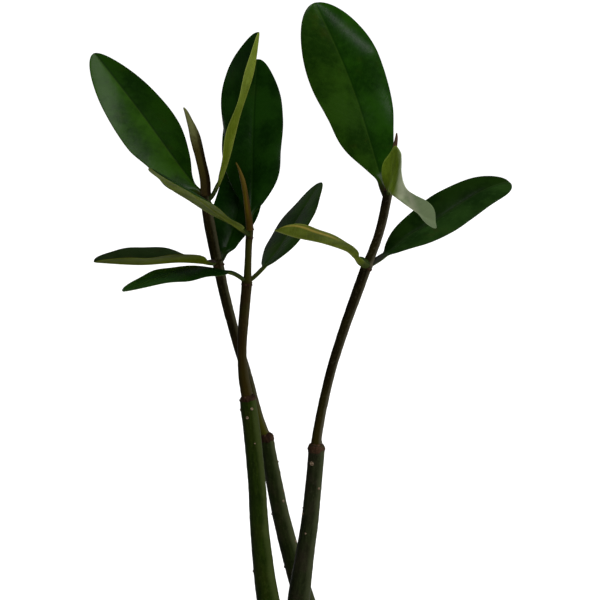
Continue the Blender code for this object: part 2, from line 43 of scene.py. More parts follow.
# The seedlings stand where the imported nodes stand. All lengths here are in millimetres:
# round pieces are lists of (x, y, z, radius), leaf paths run from the stalk to the tip,
# folds are the degrees that each half of a blade is lifted, and swells what its width is
# multiplied by, both from foot to tip. Fullness is for foot and tip, and less is blunter.
# A collar has its share of the full height, then mm up the stem and mm wider.
seedlings = {
    "left": {
        "hypocotyl": [
            (19.5, 16, 40, 1.6), (19, 16, 44, 3.6), (18, 15, 62, 5.6), (15.5, 14, 97, 6.1),
            (8, 12.5, 122, 5.8), (0.5, 12, 147, 5.15), (-7.8, 11, 178.5, 4.45), (-13.9, 9.5, 210, 3.95),
            (-15.2, 9, 218.5, 3.75), (-15.7, 9, 221.5, 3.5),
        ],
        "stem": [
            (-15.9, 9, 222.6, 2.6), (-17.6, 8.8, 226.8, 2.35), (-20.5, 8, 236, 2.3),
            (-25.3, 6.5, 254.3, 2.4), (-30.6, 5.5, 272.2, 2.5), (-36.4, 5, 295, 2.65),
            (-39.4, 5, 309.5, 2.75), (-39.8, 5, 311.5, 2.9), (-40.6, 5, 313.5, 2.65),
            (-43.8, 4.5, 330.3, 2.8), (-45.6, 4, 342.5, 2.6), (-45.8, 4, 345.5, 2.6),
        ],
        "bud": [
            (-45.7, 4, 346.2, 2.6), (-46, 4, 353, 2.5), (-48, 4, 362.7, 2.4), (-50.4, 4, 372.6, 2.65),
            (-51.8, 4, 377.6, 2.15), (-53.6, 4, 382.5, 1.45), (-55.4, 4, 387, 0.8), (-56.4, 4, 388.6, 0.35),
        ],
        "collar": (0.85, 1.5, 0), "lowerNode": (-39.8, 5, 311.5, 2.8), "upperNode": (-45.3, 4, 342.5, 2.5),
        "leaves": {
            "lower_left": {
                "path": [(-43.5, 1.8, 311.7), (-58, -6, 312.9), (-76.5, -15, 312), (-97.5, -26, 313.6)],
                "facing": [(0.05, 0, 1), (0, 0, 1)],
                "foldLeft": [40, 26, 23, 23], "foldRight": [15, 35, 39, 37],
                "width": 28, "stalk": 1, "leftSwell": [1.3, 1.05, 1, 1.03, 1.1],
                "stalkRadius": 1.5, "finish": "dusty",
            },
            "lower_right": {
                "path": [(-36.5, 10, 317), (-32, 17, 330), (-28.5, 25, 347.5), (-24, 34, 373.5)],
                "facing": [(-0.23, -0.82, 0.52), (-0.33, -0.87, 0.36)],
                "foldLeft": [10, 10], "foldRight": [10, 10],
                "width": 26.5, "stalk": 2, "fullness": (0.85, 0.6), "widest": 0.47, "stalkRadius": 1.8,
                "leftSwell": [1.5, 1.2, 1, 1, 1],
                "rightSwell": [1.3, 0.85, 0.89, 0.93, 0.95, 0.97, 0.98, 1, 1], "finish": "hidden",
            },
            "upper_left": {
                "path": [(-51.2, 7, 349.3), (-61.9, 14, 362.7), (-82.3, 26, 389.5), (-105.7, 38, 418.3)],
                "facing": [(0.31, -0.75, 0.58), (0.16, -0.8, 0.57)],
                "foldLeft": [-4, 3, 2, -4], "foldRight": [-3, -3],
                "width": 33, "stalk": 2, "fullness": (0.85, 0.55), "stalkRadius": 2, "finish": "shaded",
                "leftSwell": [2.8, 1.32, 1.12, 1.04, 1, 1],
                "rightSwell": [0.15, 0.42, 0.8, 0.95, 1.02, 1.04, 1.05, 1.05, 1.03, 1.01, 1],
            },
            "upper_right": {
                "path": [
                    (-41, 2, 347), (-34.6, -1, 362.5), (-28.4, -6, 384.5),
                    (-21.5, -10, 404.5), (-18.3, -13, 424),
                ],
                "facing": [(-0.97, 0.25, 0.1), (-0.85, -0.52, 0)],
                "foldLeft": [28, 43], "foldRight": [12, 15, 24, 30, 46, 50],
                "width": 31, "stalk": 6, "leftSwell": [0.9, 0.87, 0.98, 1.16, 1.16, 1], "finish": "bright",
            },
        },
    },
    "middle": {
        "hypocotyl": [
            (-9, -9, 36, 1.6), (-9, -9, 40, 3.8), (-9, -9, 58, 6), (-10, -9, 97, 6.6),
            (-12.5, -8.5, 128, 6.2), (-16.1, -8, 152.5, 5.45), (-18.7, -8, 178, 4.75),
            (-20.2, -8, 203.5, 4.45), (-22.6, -8, 229, 4.25), (-23.9, -8, 239, 4.2), (-24.5, -8, 244.6, 4),
        ],
        "stem": [
            (-24.7, -8, 245.4, 3), (-26.3, -8, 254, 2.7), (-27.2, -8, 264, 2.35), (-27.2, -8, 271.3, 2.35),
            (-26.8, -8, 279, 2.5), (-25.5, -8, 293.7, 2.6), (-24.8, -8, 301, 2.6), (-24.6, -8, 303, 2.75),
            (-24.4, -8, 305, 2), (-23.9, -8, 318.4, 1.7), (-23.4, -8, 326, 1.9), (-23.3, -8, 328.6, 1.8),
        ],
        "bud": [
            (-23.3, -8, 329.2, 1.8), (-24.3, -8, 338, 1.5), (-25.7, -8, 348, 1.2), (-26.8, -8, 353, 1.1),
            (-28.3, -8, 357.7, 0.6), (-29.9, -8, 361.2, 0.3),
        ],
        "collar": (0.62, 1.0, -0.3), "lowerNode": (-24.6, -8, 303, 2.7), "upperNode": (-23.4, -8, 326, 1.9),
        "leaves": {
            "lower_left": {
                "path": [(-32, -13, 307.5), (-44.5, -23, 310), (-62, -38, 308), (-80.5, -52, 301.5)],
                "facing": [(0, -0.16, 1), (0, -0.15, 1)],
                "foldLeft": [-8, -2, 14], "foldRight": [3, 4, 6],
                "width": 27, "stalk": 7,
                "leftSwell": [1.3, 0.88, 0.95, 1], "rightSwell": [1.4, 1.13, 0.88, 0.9],
            },
            "lower_right": {
                "path": [(-18.7, -6, 307.4), (-9.3, 1, 318), (1.4, 11, 334.5), (12.1, 20.5, 351.6)],
                "facing": [(-0.6, -0.35, 0.72), (-0.66, -0.35, 0.67)],
                "foldLeft": [8, 8], "foldRight": [8, 8],
                "width": 30.5, "stalk": 6, "widest": 0.49, "finish": "olive",
                "leftSwell": [1.15, 1.06, 1.01, 1.01, 1.1], "rightSwell": [1.25, 1.08, 0.99, 0.91, 0.9],
            },
            "upper_left": {
                "path": [(-26.5, -14, 328.5), (-39, -30, 338.3), (-51, -48, 348.5), (-65, -70, 358)],
                "facing": [(0.49, 0.155, 0.86), (0.49, 0.155, 0.86)],
                "foldLeft": [14, 4, 2, -6], "foldRight": [2, -2, -2, 0],
                "width": 28, "stalk": 4, "fullness": (0.6, 0.6),
            },
            "upper_right": {
                "path": [
                    (-23, -3, 333.5), (-22.5, 5, 348), (-22.5, 18, 373), (-22, 27, 393.5), (-20.5, 34, 415),
                ],
                "facing": [(-0.21, -0.85, 0.48), (-0.37, -0.88, 0.31)],
                "foldLeft": [8, 8], "foldRight": [8, 8],
                "width": 33, "stalk": 7, "fullness": (0.95, 0.53),
                "rightSwell": [1.3, 1.27, 0.97, 1.02, 1.1, 1.02],
            },
        },
    },
    "right": {
        "hypocotyl": [
            (0, 6.5, 42, 1.6), (0, 6.5, 46, 3.8), (0, 6, 62, 6), (1, 4, 97, 6.6),
            (0, 0, 122, 6.3), (0.9, -4, 141.5, 5.7), (3.6, -4.5, 161.6, 4.85), (6.5, -5, 182.3, 4.35),
            (8.5, -5.5, 202.8, 4.1), (9.6, -6, 215.6, 4.1), (9.7, -6, 219.4, 4.1), (9.8, -6, 221, 3.8),
        ],
        "stem": [
            (9.8, -6, 221.8, 2.9), (10, -6, 225, 2.55), (12.4, -6, 238.4, 2.4), (17, -6, 258.5, 2.4),
            (23.2, -6.5, 278.6, 2.5), (30.2, -7, 298.6, 2.7), (33.9, -7, 309, 2.7), (34.8, -7, 311, 2.9),
            (35.6, -7, 313.2, 2.4), (39.4, -7.3, 323.3, 2.25), (42.1, -7.6, 333.2, 2.3),
            (44.5, -8, 345.5, 2.3), (44.8, -8, 347.6, 2.2),
        ],
        "bud": [
            (45, -8, 348.3, 1.9), (46.6, -7.5, 357.7, 1.5), (47.8, -7, 367.5, 1.2), (48.7, -7, 372.5, 0.8),
            (48.9, -7, 375.7, 0.3),
        ],
        "collar": (1, -0.2, 0), "lowerNode": (34.8, -7, 311, 2.8), "upperNode": (44.5, -8, 345.5, 2),
        "leaves": {
            "lower_left": {
                "path": [
                    (28.5, -17, 315.5), (24, -27, 319.5), (12, -44, 324), (0, -58, 327), (-9.5, -71, 330.5),
                ],
                "facing": [(0.1, 0, 1), (0.12, 0.09, 1)],
                "foldLeft": [2, 20, 24, 36], "foldRight": [6, 22, 26],
                "width": 27.5, "stalk": 3, "fullness": (0.95, 0.42), "widest": 0.62, "stalkRadius": 2.3,
                "leftSwell": [1.5, 0.72, 0.74, 0.94, 1.3], "rightSwell": [0.8, 0.6, 0.78, 0.85, 0.3],
                "finish": "rimmed",
            },
            "lower_right": {
                "path": [
                    (43, -4, 315.5), (55.5, 2, 324.5), (73.5, 8, 334.7), (94, 16, 347), (108.5, 22, 352),
                ],
                "facing": [(-0.29, -0.56, 0.78), (-0.05, -0.58, 0.81)],
                "foldLeft": [10, 10], "foldRight": [10, 10],
                "width": 32, "stalk": 4.5, "fullness": (0.9, 0.48), "stalkRadius": 1.6, "finish": "dulled",
                "leftSwell": [1, 0.97, 0.97, 1, 1],
                "rightSwell": [1.1, 1.07, 1.05, 0.98, 0.86, 0.92, 1.1, 1.25],
            },
            "upper_left": {
                "path": [(41.5, -4, 353), (35, 3, 375.5), (28.5, 10, 396.5), (19.5, 15, 419), (8.8, 20, 442)],
                "facing": [(0.05, -0.95, 0.31), (0.08, -0.95, 0.31), (0.12, -0.95, 0.3), (0.3, -0.9, 0.32)],
                "foldLeft": [6, 6], "foldRight": [6, 6, 4, 0],
                "width": 39.5, "stalk": 2.5, "fullness": (0.72, 0.5), "widest": 0.57, "stalkRadius": 2.3,
                "curl": -22, "finish": "grown",
                "leftSwell": [0.65, 1.05, 0.94, 0.98, 1.04, 1.08],
                "rightSwell": [1.6, 1.04, 0.97, 1.01, 1.18, 1.36],
            },
            "upper_right": {
                "path": [
                    (45, -13, 347.5), (44.5, -24, 348.5), (44.5, -37, 347),
                    (46.5, -48, 345), (53.4, -57.5, 339.6), (62.6, -66.5, 334),
                ],
                "facing": [(0.15, 0.2, 1), (0.15, 0.2, 1), (0.76, 0.36, 0.54)],
                "foldLeft": [50, 60, 60, 15, 8],
                "foldRight": [36, 83, 93, 96, 99, 97, 78, 50, 30, 20, 15],
                "width": 38, "stalk": 4, "fullness": (0.9, 0.26), "widest": 0.31, "halves": (0.25, 1),
                "leftSwell": [1, 1, 1, 1.7, 2.2, 2.6], "rightSwell": [1, 1.13, 0.99, 0.42, 0.68, 1],
                "finish": "young",
            },
        },
    },
}


# Node helpers, for geometry and shader trees alike

def plug(tree, value, socket):
    if isinstance(value, bpy.types.NodeSocket):
        tree.links.new(value, socket)
    else:
        socket.default_value = value


def addNode(tree, kind, inputs=(), **settings):
    node = tree.nodes.new(kind)
    for name, value in settings.items():
        setattr(node, name, value)
    for place, value in dict(inputs).items():
        plug(tree, value, node.inputs[place])
    return node


def output(tree, kind, inputs=(), **settings):
    return addNode(tree, kind, inputs, **settings).outputs[0]


def calc(tree, operation, *values):
    return output(tree, "ShaderNodeMath", enumerate(values), operation=operation)


def calcVector(tree, operation, *values):
    return output(tree, "ShaderNodeVectorMath", enumerate(values), operation=operation)


def chained(tree, operation, values):
    total = values[0]
    for value in values[1:]:
        total = calc(tree, operation, total, value)
    return total


def plus(tree, *values):
    return chained(tree, "ADD", values)


def minus(tree, *values):
    return chained(tree, "SUBTRACT", values)


def times(tree, *values):
    return chained(tree, "MULTIPLY", values)


def timesPlus(tree, value, factor, extra):
    return calc(tree, "MULTIPLY_ADD", value, factor, extra)


def between(tree, low, high, share):
    return plus(tree, low, times(tree, minus(tree, high, low), share))


def hump(tree, distance, width):  # one in the middle, falling to nothing on both sides
    ratio = calc(tree, "DIVIDE", distance, width)
    return calc(tree, "EXPONENT", times(tree, ratio, ratio, -1.0))


def scaled(tree, vector, factor):
    return output(tree, "ShaderNodeVectorMath", {"Vector": vector, "Scale": factor}, operation="SCALE")


def joined(tree, *parts):
    return output(tree, "ShaderNodeCombineXYZ", enumerate(parts))


def parted(tree, vector):
    return addNode(tree, "ShaderNodeSeparateXYZ", {0: vector}).outputs


def noiseOn(tree, vector, scale, detail=3.0, roughness=0.5):
    inputs = {"Vector": vector, "Scale": scale, "Detail": detail, "Roughness": roughness}
    return output(tree, "ShaderNodeTexNoise", inputs)


# Growing a piece with a geometry tree

def newTree(name, inputs):
    tree = bpy.data.node_groups.new(name, "GeometryNodeTree")
    for way in ("INPUT", "OUTPUT"):
        tree.interface.new_socket("Geometry", in_out=way, socket_type="NodeSocketGeometry")
    for label, kind in inputs.items():
        tree.interface.new_socket(label, in_out="INPUT", socket_type="NodeSocket" + kind)
    return tree, tree.nodes.new("NodeGroupInput").outputs


def dressed(tree, geometry, finish, smooth=True):
    if smooth:
        geometry = output(tree, "GeometryNodeSetShadeSmooth", {"Geometry": geometry})
    geometry = output(tree, "GeometryNodeRealizeInstances", {"Geometry": geometry})
    return output(tree, "GeometryNodeSetMaterial", {"Geometry": geometry, "Material": finish})


def endTree(tree, geometry):
    plug(tree, geometry, tree.nodes.new("NodeGroupOutput").inputs[0])
    return tree


def namedValue(tree, name, kind="FLOAT"):
    node = addNode(tree, "GeometryNodeInputNamedAttribute", {"Name": name}, data_type=kind)
    return node.outputs["Attribute"]


def storeValue(tree, geometry, name, value, kind="FLOAT"):
    inputs = {"Geometry": geometry, "Name": name, "Value": value}
    return output(tree, "GeometryNodeStoreNamedAttribute", inputs, data_type=kind, domain="POINT")


def moved(tree, geometry, **where):
    return output(tree, "GeometryNodeSetPosition", {"Geometry": geometry, **where})


def placed(name, data):
    thing = bpy.data.objects.new(name, data)
    bpy.context.scene.collection.objects.link(thing)
    return thing


def plainMesh(thing):
    bpy.context.view_layer.update()
    graph = bpy.context.evaluated_depsgraph_get()
    solid = thing.evaluated_get(graph)
    return bpy.data.meshes.new_from_object(solid, preserve_all_data_layers=True, depsgraph=graph)


def growPiece(name, data, tree, values):
    grower = placed(name, data)
    modifier = grower.modifiers.new(tree.name, "NODES")
    modifier.node_group = tree
    for item in tree.interface.items_tree:
        key = item.name[0].lower() + item.name[1:].replace(" ", "")  # "Rib Depth" takes ribDepth
        if key in values:
            modifier[item.identifier] = values[key]
    mesh = plainMesh(grower)
    bpy.data.objects.remove(grower)
    return placed(name, mesh)


def outsideOut(piece):
    shape = bmesh.new()
    shape.from_mesh(piece.data)
    bmesh.ops.recalc_face_normals(shape, faces=shape.faces)
    shape.to_mesh(piece.data)
    shape.free()


def standFor(piece, slot, *nodes):
    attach(piece, "root")
    if nodes:
        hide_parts(*nodes)


# Curves through the tables

def eased(values, share):  # a smooth curve through evenly spaced values
    last = len(values) - 1
    k = min(int(share * last), last - 1)
    t = share * last - k
    a, b, c, d = (values[min(max(n, 0), last)] for n in (k - 1, k, k + 1, k + 2))
    return b + ((c - a) + ((a * 2 - b * 5 + c * 4 - d) + (b * 3 - a - c * 3 + d) * t) * t) * (t * 0.5)


def evenly(values, share):  # the same in straight steps
    place = share * (len(values) - 1)
    k = min(int(place), len(values) - 2)
    return values[k] + (values[k + 1] - values[k]) * (place - k)


def smoothPath(knots, steps):
    return [eased(knots, i / steps) for i in range(steps + 1)]


def heading(start, end):
    return (Vector(end[:3]) - Vector(start[:3])).normalized()


def atDistance(path, distance):
    for a, b in zip(path, path[1:]):
        step = (b - a).length
        if distance <= step or b is path[-1]:
            return a.lerp(b, distance / step)
        distance -= step


def spineMesh(name, points, values):
    mesh = bpy.data.meshes.new(name)
    mesh.from_pydata([p * mm for p in points], [(i, i + 1) for i in range(len(points) - 1)], [])
    for label, column in values.items():
        if isinstance(column[0], Vector):
            attribute = mesh.attributes.new(label, "FLOAT_VECTOR", "POINT")
            attribute.data.foreach_set("vector", [part for vector in column for part in vector])
        else:
            mesh.attributes.new(label, "FLOAT", "POINT").data.foreach_set("value", column)
    return mesh


# Material helpers

def newMaterial(name):
    material = bpy.data.materials.new(name)
    material.use_nodes = True
    return material, material.node_tree


def finished(material, colour, specular, roughness, height=None, strength=0.0, depth=0.0004):
    tree = material.node_tree
    inputs = tree.nodes["Principled BSDF"].inputs
    plug(tree, colour, inputs["Base Color"])
    plug(tree, roughness, inputs["Roughness"])
    inputs["Specular IOR Level"].default_value = specular
    if height is not None:
        bump = {"Strength": strength, "Distance": depth, "Height": height}
        plug(tree, output(tree, "ShaderNodeBump", bump), inputs["Normal"])
    return material


def mixed(tree, share, first, second, blend="MIX"):
    first, second = ((*colour, 1) if isinstance(colour, tuple) else colour for colour in (first, second))
    inputs = {0: share, 6: first, 7: second}
    return addNode(tree, "ShaderNodeMix", inputs, data_type="RGBA", blend_type=blend).outputs[2]


def spread(tree, value, low, high, toLow=0.0, toHigh=1.0):
    inputs = enumerate((value, low, high, toLow, toHigh))
    return output(tree, "ShaderNodeMapRange", inputs, interpolation_type="SMOOTHSTEP")


def coated(tree, colour, coat, value, low, high, toLow=0.0, toHigh=1.0):
    return mixed(tree, spread(tree, value, low, high, toLow, toHigh), colour, coat)


def cellsOn(tree, vector, scale):
    return output(tree, "ShaderNodeTexVoronoi", {"Vector": vector, "Scale": scale})


def objectPlace(tree):
    return tree.nodes.new("ShaderNodeTexCoord").outputs["Object"]


def attributeParts(tree, name):
    return parted(tree, addNode(tree, "ShaderNodeAttribute", attribute_name=name).outputs["Vector"])


# Leaves: each spine carries its frame and outline, and the tree grows one closed skin along it

leafFinish = {  # colours above and below, how fine their grain is, the side veins and the gloss
    "deep": (0.003, 0.014, 0.0008), "fresh": (0.008, 0.03, 0.002), "olive": (0.013, 0.022, 0.002),
    "midrib": (0.02, 0.045, 0.007), "margin": (0.012, 0.022, 0.004), "stalk": (0.02, 0.028, 0.006),
    "underDeep": (0.034, 0.047, 0.002), "underPale": (0.06, 0.08, 0.007), "underDot": (0.02, 0.025, 0.002),
    "underRib": (0.09, 0.1, 0.018), "underMargin": (0.1, 0.12, 0.024),
    "cloud": 55, "patches": 90, "speckle": 420, "underCloud": 60, "underSpeckle": 500, "underDots": 900.0,
    "veinSpacing": 4.6, "veinSlope": 1.1, "veinSharpness": 7.0,
    "roughness": 0.19, "specular": 0.017, "underSpecular": 0.006,
}
# the darker tint is painted shade, for leaves turned away from the light
plainTint, paintedShadeTint = (1, 1, 1), (0.5, 0.6, 0.55)
darkStalk = (0.008, 0.01, 0.003)
leafLooks = {  # what the leaf colours are multiplied by, on the left half, the right half and below; these are lit and shaded copies of one leaf colour, painted light and painted shade for each leaf and each half
    "grown": {"left": (1.12, 0.92, 0.8), "right": (0.64, 0.78, 0.35), "stalk": darkStalk, "specular": 0.022},
    "shaded": {"left": (1.3, 1.12, 0.7), "right": (0.45, 0.5, 0.2), "stalk": darkStalk, "specular": 0.02},
    "deep": {"left": paintedShadeTint, "right": paintedShadeTint},
    "hidden": {"left": paintedShadeTint, "right": (0.65, 0.75, 0.6), "stalk": (0.008, 0.012, 0.003)},
    "bright": {"left": paintedShadeTint, "right": paintedShadeTint, "under": (1.5, 1.5, 1.8)},
    "olive": {"left": (0.6, 0.5, 0.3), "right": (0.55, 0.5, 0.3), "specular": 0.009},
    # a greyer, bluer top and a yellower, darker underside
    "dusty": {"left": (0.62, 0.32, 1.2), "right": (0.62, 0.32, 1.2), "under": (0.62, 0.63, 0.1)},
    "rimmed": {"left": paintedShadeTint, "right": paintedShadeTint, "under": plainTint, "rim": {
        "inner": 0.64, "outer": 0.78, "from": 33, "to": 47, "colour": (0.24, 0.18, 0.035),
    }},
    "dulled": {"left": (0.45, 0.38, 0.45), "right": (0.95, 0.72, 1.6), "stalk": (0.013, 0.018, 0.006)},
    # the young leaf's pale bloom below is a painted highlight
    "young": {"left": plainTint, "right": plainTint, "under": (1.3, 1.5, 1.2), "bloom": {
        "from": 34, "to": 46, "tip": 52, "tipEnd": 61,
        "pale": (0.25, 0.27, 0.18), "green": (0.075, 0.125, 0.05),
    }},
}


def leafPlaces(tree):
    place = attributeParts(tree, "leafPlace")  # mm right of the midrib, and mm along from the blade's foot
    span = addNode(tree, "ShaderNodeAttribute", attribute_name="leafSpan").outputs["Fac"]
    return place[0], calc(tree, "ABSOLUTE", place[0]), place[1], calc(tree, "ABSOLUTE", span)


def veinLines(tree, across, along):
    # side veins leave the midrib at a slant
    slanted = minus(tree, along, times(tree, across, leafFinish["veinSlope"]))
    wave = calc(tree, "SINE", times(tree, slanted, math.tau / leafFinish["veinSpacing"]))
    return calc(tree, "POWER", timesPlus(tree, wave, 0.5, 0.5), leafFinish["veinSharpness"])


def leafUpperMaterial(name, look):
    material, tree = newMaterial(name)
    side, across, along, outward = leafPlaces(tree)
    spot = objectPlace(tree)
    broad = noiseOn(tree, spot, leafFinish["cloud"], 4, 0.55)
    fine = noiseOn(tree, spot, leafFinish["speckle"], 3, 0.6)
    patches = noiseOn(tree, spot, leafFinish["patches"], 5, 0.6)
    veins = veinLines(tree, across, along)
    colour = coated(tree, leafFinish["deep"], leafFinish["fresh"], broad, 0.38, 0.62)
    colour = coated(tree, colour, leafFinish["olive"], patches, 0.55, 0.78, 0, 0.6)
    colour = coated(tree, colour, leafFinish["fresh"], fine, 0.35, 0.75, 0, 0.35)
    faint = times(tree, veins, spread(tree, fine, 0.3, 0.7, 0.0, 0.05))
    colour = mixed(tree, faint, colour, leafFinish["midrib"])
    colour = mixed(tree, times(tree, hump(tree, across, 0.42), 0.32), colour, leafFinish["midrib"])
    shade = hump(tree, minus(tree, side, 0.7), 0.5)  # painted shade: a dark line just right of the midrib, where the groove is shaded
    colour = mixed(tree, times(tree, shade, 0.65), colour, leafFinish["deep"])
    colour = coated(tree, colour, leafFinish["margin"], outward, 0.965, 1.0, 0, 0.7)
    colour = coated(tree, colour, look.get("stalk", leafFinish["stalk"]), along, -1.0, 6.0, 1.0, 0.0)
    # painted light and shade: each half of the blade takes its own tint
    tint = coated(tree, look["left"], look["right"], side, -0.8, 0.8)
    colour = mixed(tree, 1.0, colour, tint, "MULTIPLY")
    specular = look.get("specular", leafFinish["specular"])
    rough = plus(tree, leafFinish["roughness"], times(tree, fine, 0.14))
    relief = plus(tree, times(tree, veins, -0.08), times(tree, fine, 0.3), times(tree, broad, 1.5))
    return finished(material, colour, specular, rough, relief, 0.35)


def leafLowerMaterial(name, look):
    material, tree = newMaterial(name)
    across, along, outward = leafPlaces(tree)[1:]
    spot = objectPlace(tree)
    broad = noiseOn(tree, spot, leafFinish["underCloud"], 4, 0.6)
    fine = noiseOn(tree, spot, leafFinish["underSpeckle"], 3, 0.6)
    cells = cellsOn(tree, spot, leafFinish["underDots"])
    veins = veinLines(tree, across, along)
    colour = coated(tree, leafFinish["underDeep"], leafFinish["underPale"], broad, 0.35, 0.65)
    colour = coated(tree, colour, leafFinish["underDot"], cells, 0.12, 0.3, 0.7, 0.0)
    colour = mixed(tree, times(tree, veins, 0.18), colour, leafFinish["underPale"])
    colour = mixed(tree, times(tree, hump(tree, across, 0.9), 0.6), colour, leafFinish["underRib"])
    colour = coated(tree, colour, leafFinish["underMargin"], outward, 0.9, 1.0, 0, 0.6)
    colour = mixed(tree, 1.0, colour, look.get("under", plainTint), "MULTIPLY")
    if "rim" in look:  # a yellow line just inside the edge, on the outer part of the leaf
        rim = look["rim"]
        line = times(
            tree, spread(tree, outward, rim["inner"], rim["outer"]),
            spread(tree, outward, rim["outer"] + 0.02, 0.9, 1.0, 0.1),
            spread(tree, along, rim["from"], rim["to"], 0, 0.65),
        )
        colour = mixed(tree, line, colour, rim["colour"])
    if "bloom" in look:  # a painted highlight: pale grey-green glare of strong light over the outer part of a young leaf
        bloom = look["bloom"]
        reached = timesPlus(tree, across, 0.6, timesPlus(tree, broad, 12.0, along))
        cloudy = spread(tree, noiseOn(tree, spot, 110, 4, 0.6), 0.4, 0.7, 0, 0.6)
        greener = calc(tree, "MAXIMUM", cloudy, spread(tree, reached, bloom["tip"], bloom["tipEnd"], 0, 0.7))
        paintedGlare = mixed(tree, greener, bloom["pale"], bloom["green"])
        colour = coated(tree, colour, paintedGlare, reached, bloom["from"], bloom["to"], 0, 0.9)
    colour = coated(tree, colour, leafFinish["stalk"], along, -1.0, 5.0, 1.0, 0.0)
    rough = timesPlus(tree, fine, 0.2, 0.45)
    relief = plus(tree, times(tree, veins, 0.5), times(tree, fine, 0.6))
    return finished(material, colour, leafFinish["underSpecular"], rough, relief, 0.3)


def leafFinishes():
    plain = leafLowerMaterial("leafUnder", {})
    finishes = {}
    for name, look in leafLooks.items():
        under = leafLowerMaterial(f"{name}LeafUnder", look) if "under" in look else plain
        finishes[name] = (leafUpperMaterial(f"{name}LeafUpper", look), under)
    return finishes


leafShape = {
    "thickness": 0.7, "stalkRadius": 1.1, "ribDepth": 0.8, "ribWidth": 1.1,  # all mm
    "grooveDepth": 0.1, "grooveWidth": 0.4, "foldStart": 0.9, "waveHeight": 0.35,
    "curl": -12, "waves": 2.6, "waveStep": 1.9, "waveShift": 1.1,  # degrees, waves on a blade, radians
    "fullness": (0.95, 0.58), "widest": 0.52, "stalkEnd": 0.09, "tipStart": 0.97,  # powers, then shares
    "rootShare": 0.3, "rootGap": 0.3,  # share of the node's radius where the stalk starts, mm to spare
    "rows": 116, "columns": 72, "stalkRows": 10, "evenRows": 0.35, "pathSteps": 400,
}


def halfOutline(share, leaf):
    base, tip = leaf.get("fullness", leafShape["fullness"])
    shifted = share ** (math.log(0.5) / math.log(leaf.get("widest", leafShape["widest"])))
    return 0.5 * leaf["width"] * max(math.sin(math.pi * shifted), 0) ** (base + (tip - base) * share)


def leafSpine(leaf, node):
    aim = heading(node, leaf["path"][0])
    level = Vector((aim.x, aim.y, 0)).normalized()
    rootShare = leafShape["rootShare"]
    knots = [Vector(node[:3]) + level * node[3] * rootShare] + [Vector(p) for p in leaf["path"]]
    path = smoothPath(knots, leafShape["pathSteps"])
    length = sum((b - a).length for a, b in zip(path, path[1:]))
    stalk = leaf["stalk"] + node[3] * (1 - rootShare) + leafShape["rootGap"]  # from inside the node
    facings = [Vector(f).normalized() for f in leaf["facing"]]
    leftHalf, rightHalf = leaf.get("halves", (1, 1))
    stalkRadius = leaf.get("stalkRadius", leafShape["stalkRadius"])
    stalkRows = leafShape["stalkRows"]
    points, rows = [], []
    for row in range(leafShape["rows"]):
        if row < stalkRows:
            share = 0
            distance = stalk * row / stalkRows
        else:  # rows stand closer at the foot and at the tip
            step = (row - stalkRows) / (leafShape["rows"] - stalkRows - 1)
            rounded = (1 - math.cos(math.pi * step)) / 2
            share = min(leafShape["evenRows"] * step + (1 - leafShape["evenRows"]) * rounded, 1)
            distance = stalk + (length - stalk) * share
        ahead = atDistance(path, min(distance + 1, length))
        behind = atDistance(path, max(distance - 1, 0))
        forward = (ahead - behind).normalized()
        facing = evenly(facings, share)
        facing = (facing - forward * facing.dot(forward)).normalized()
        reach = max(halfOutline(share, leaf), stalkRadius * (1 - share) if share < 0.5 else 0)
        opening = min(share / leafShape["stalkEnd"], 1)
        closing = max((share - leafShape["tipStart"]) / (1 - leafShape["tipStart"]), 0)
        points.append(atDistance(path, distance))
        rows.append({
            "facing": facing, "across": forward.cross(facing), "share": share, "along": distance - stalk,
            "reachLeft": reach * leftHalf * eased(leaf.get("leftSwell", (1, 1)), share),
            "reachRight": reach * rightHalf * eased(leaf.get("rightSwell", (1, 1)), share),
            "foldLeft": math.radians(eased(leaf["foldLeft"], share)),
            "foldRight": math.radians(eased(leaf["foldRight"], share)),
            "stalk": 1 - opening ** 2 * (3 - 2 * opening),
            "close": 0 if row == 0 else math.sqrt(max(1 - closing ** 2, 0)),
        })
    return spineMesh("spine", points, {label: [row[label] for row in rows] for label in rows[0]})


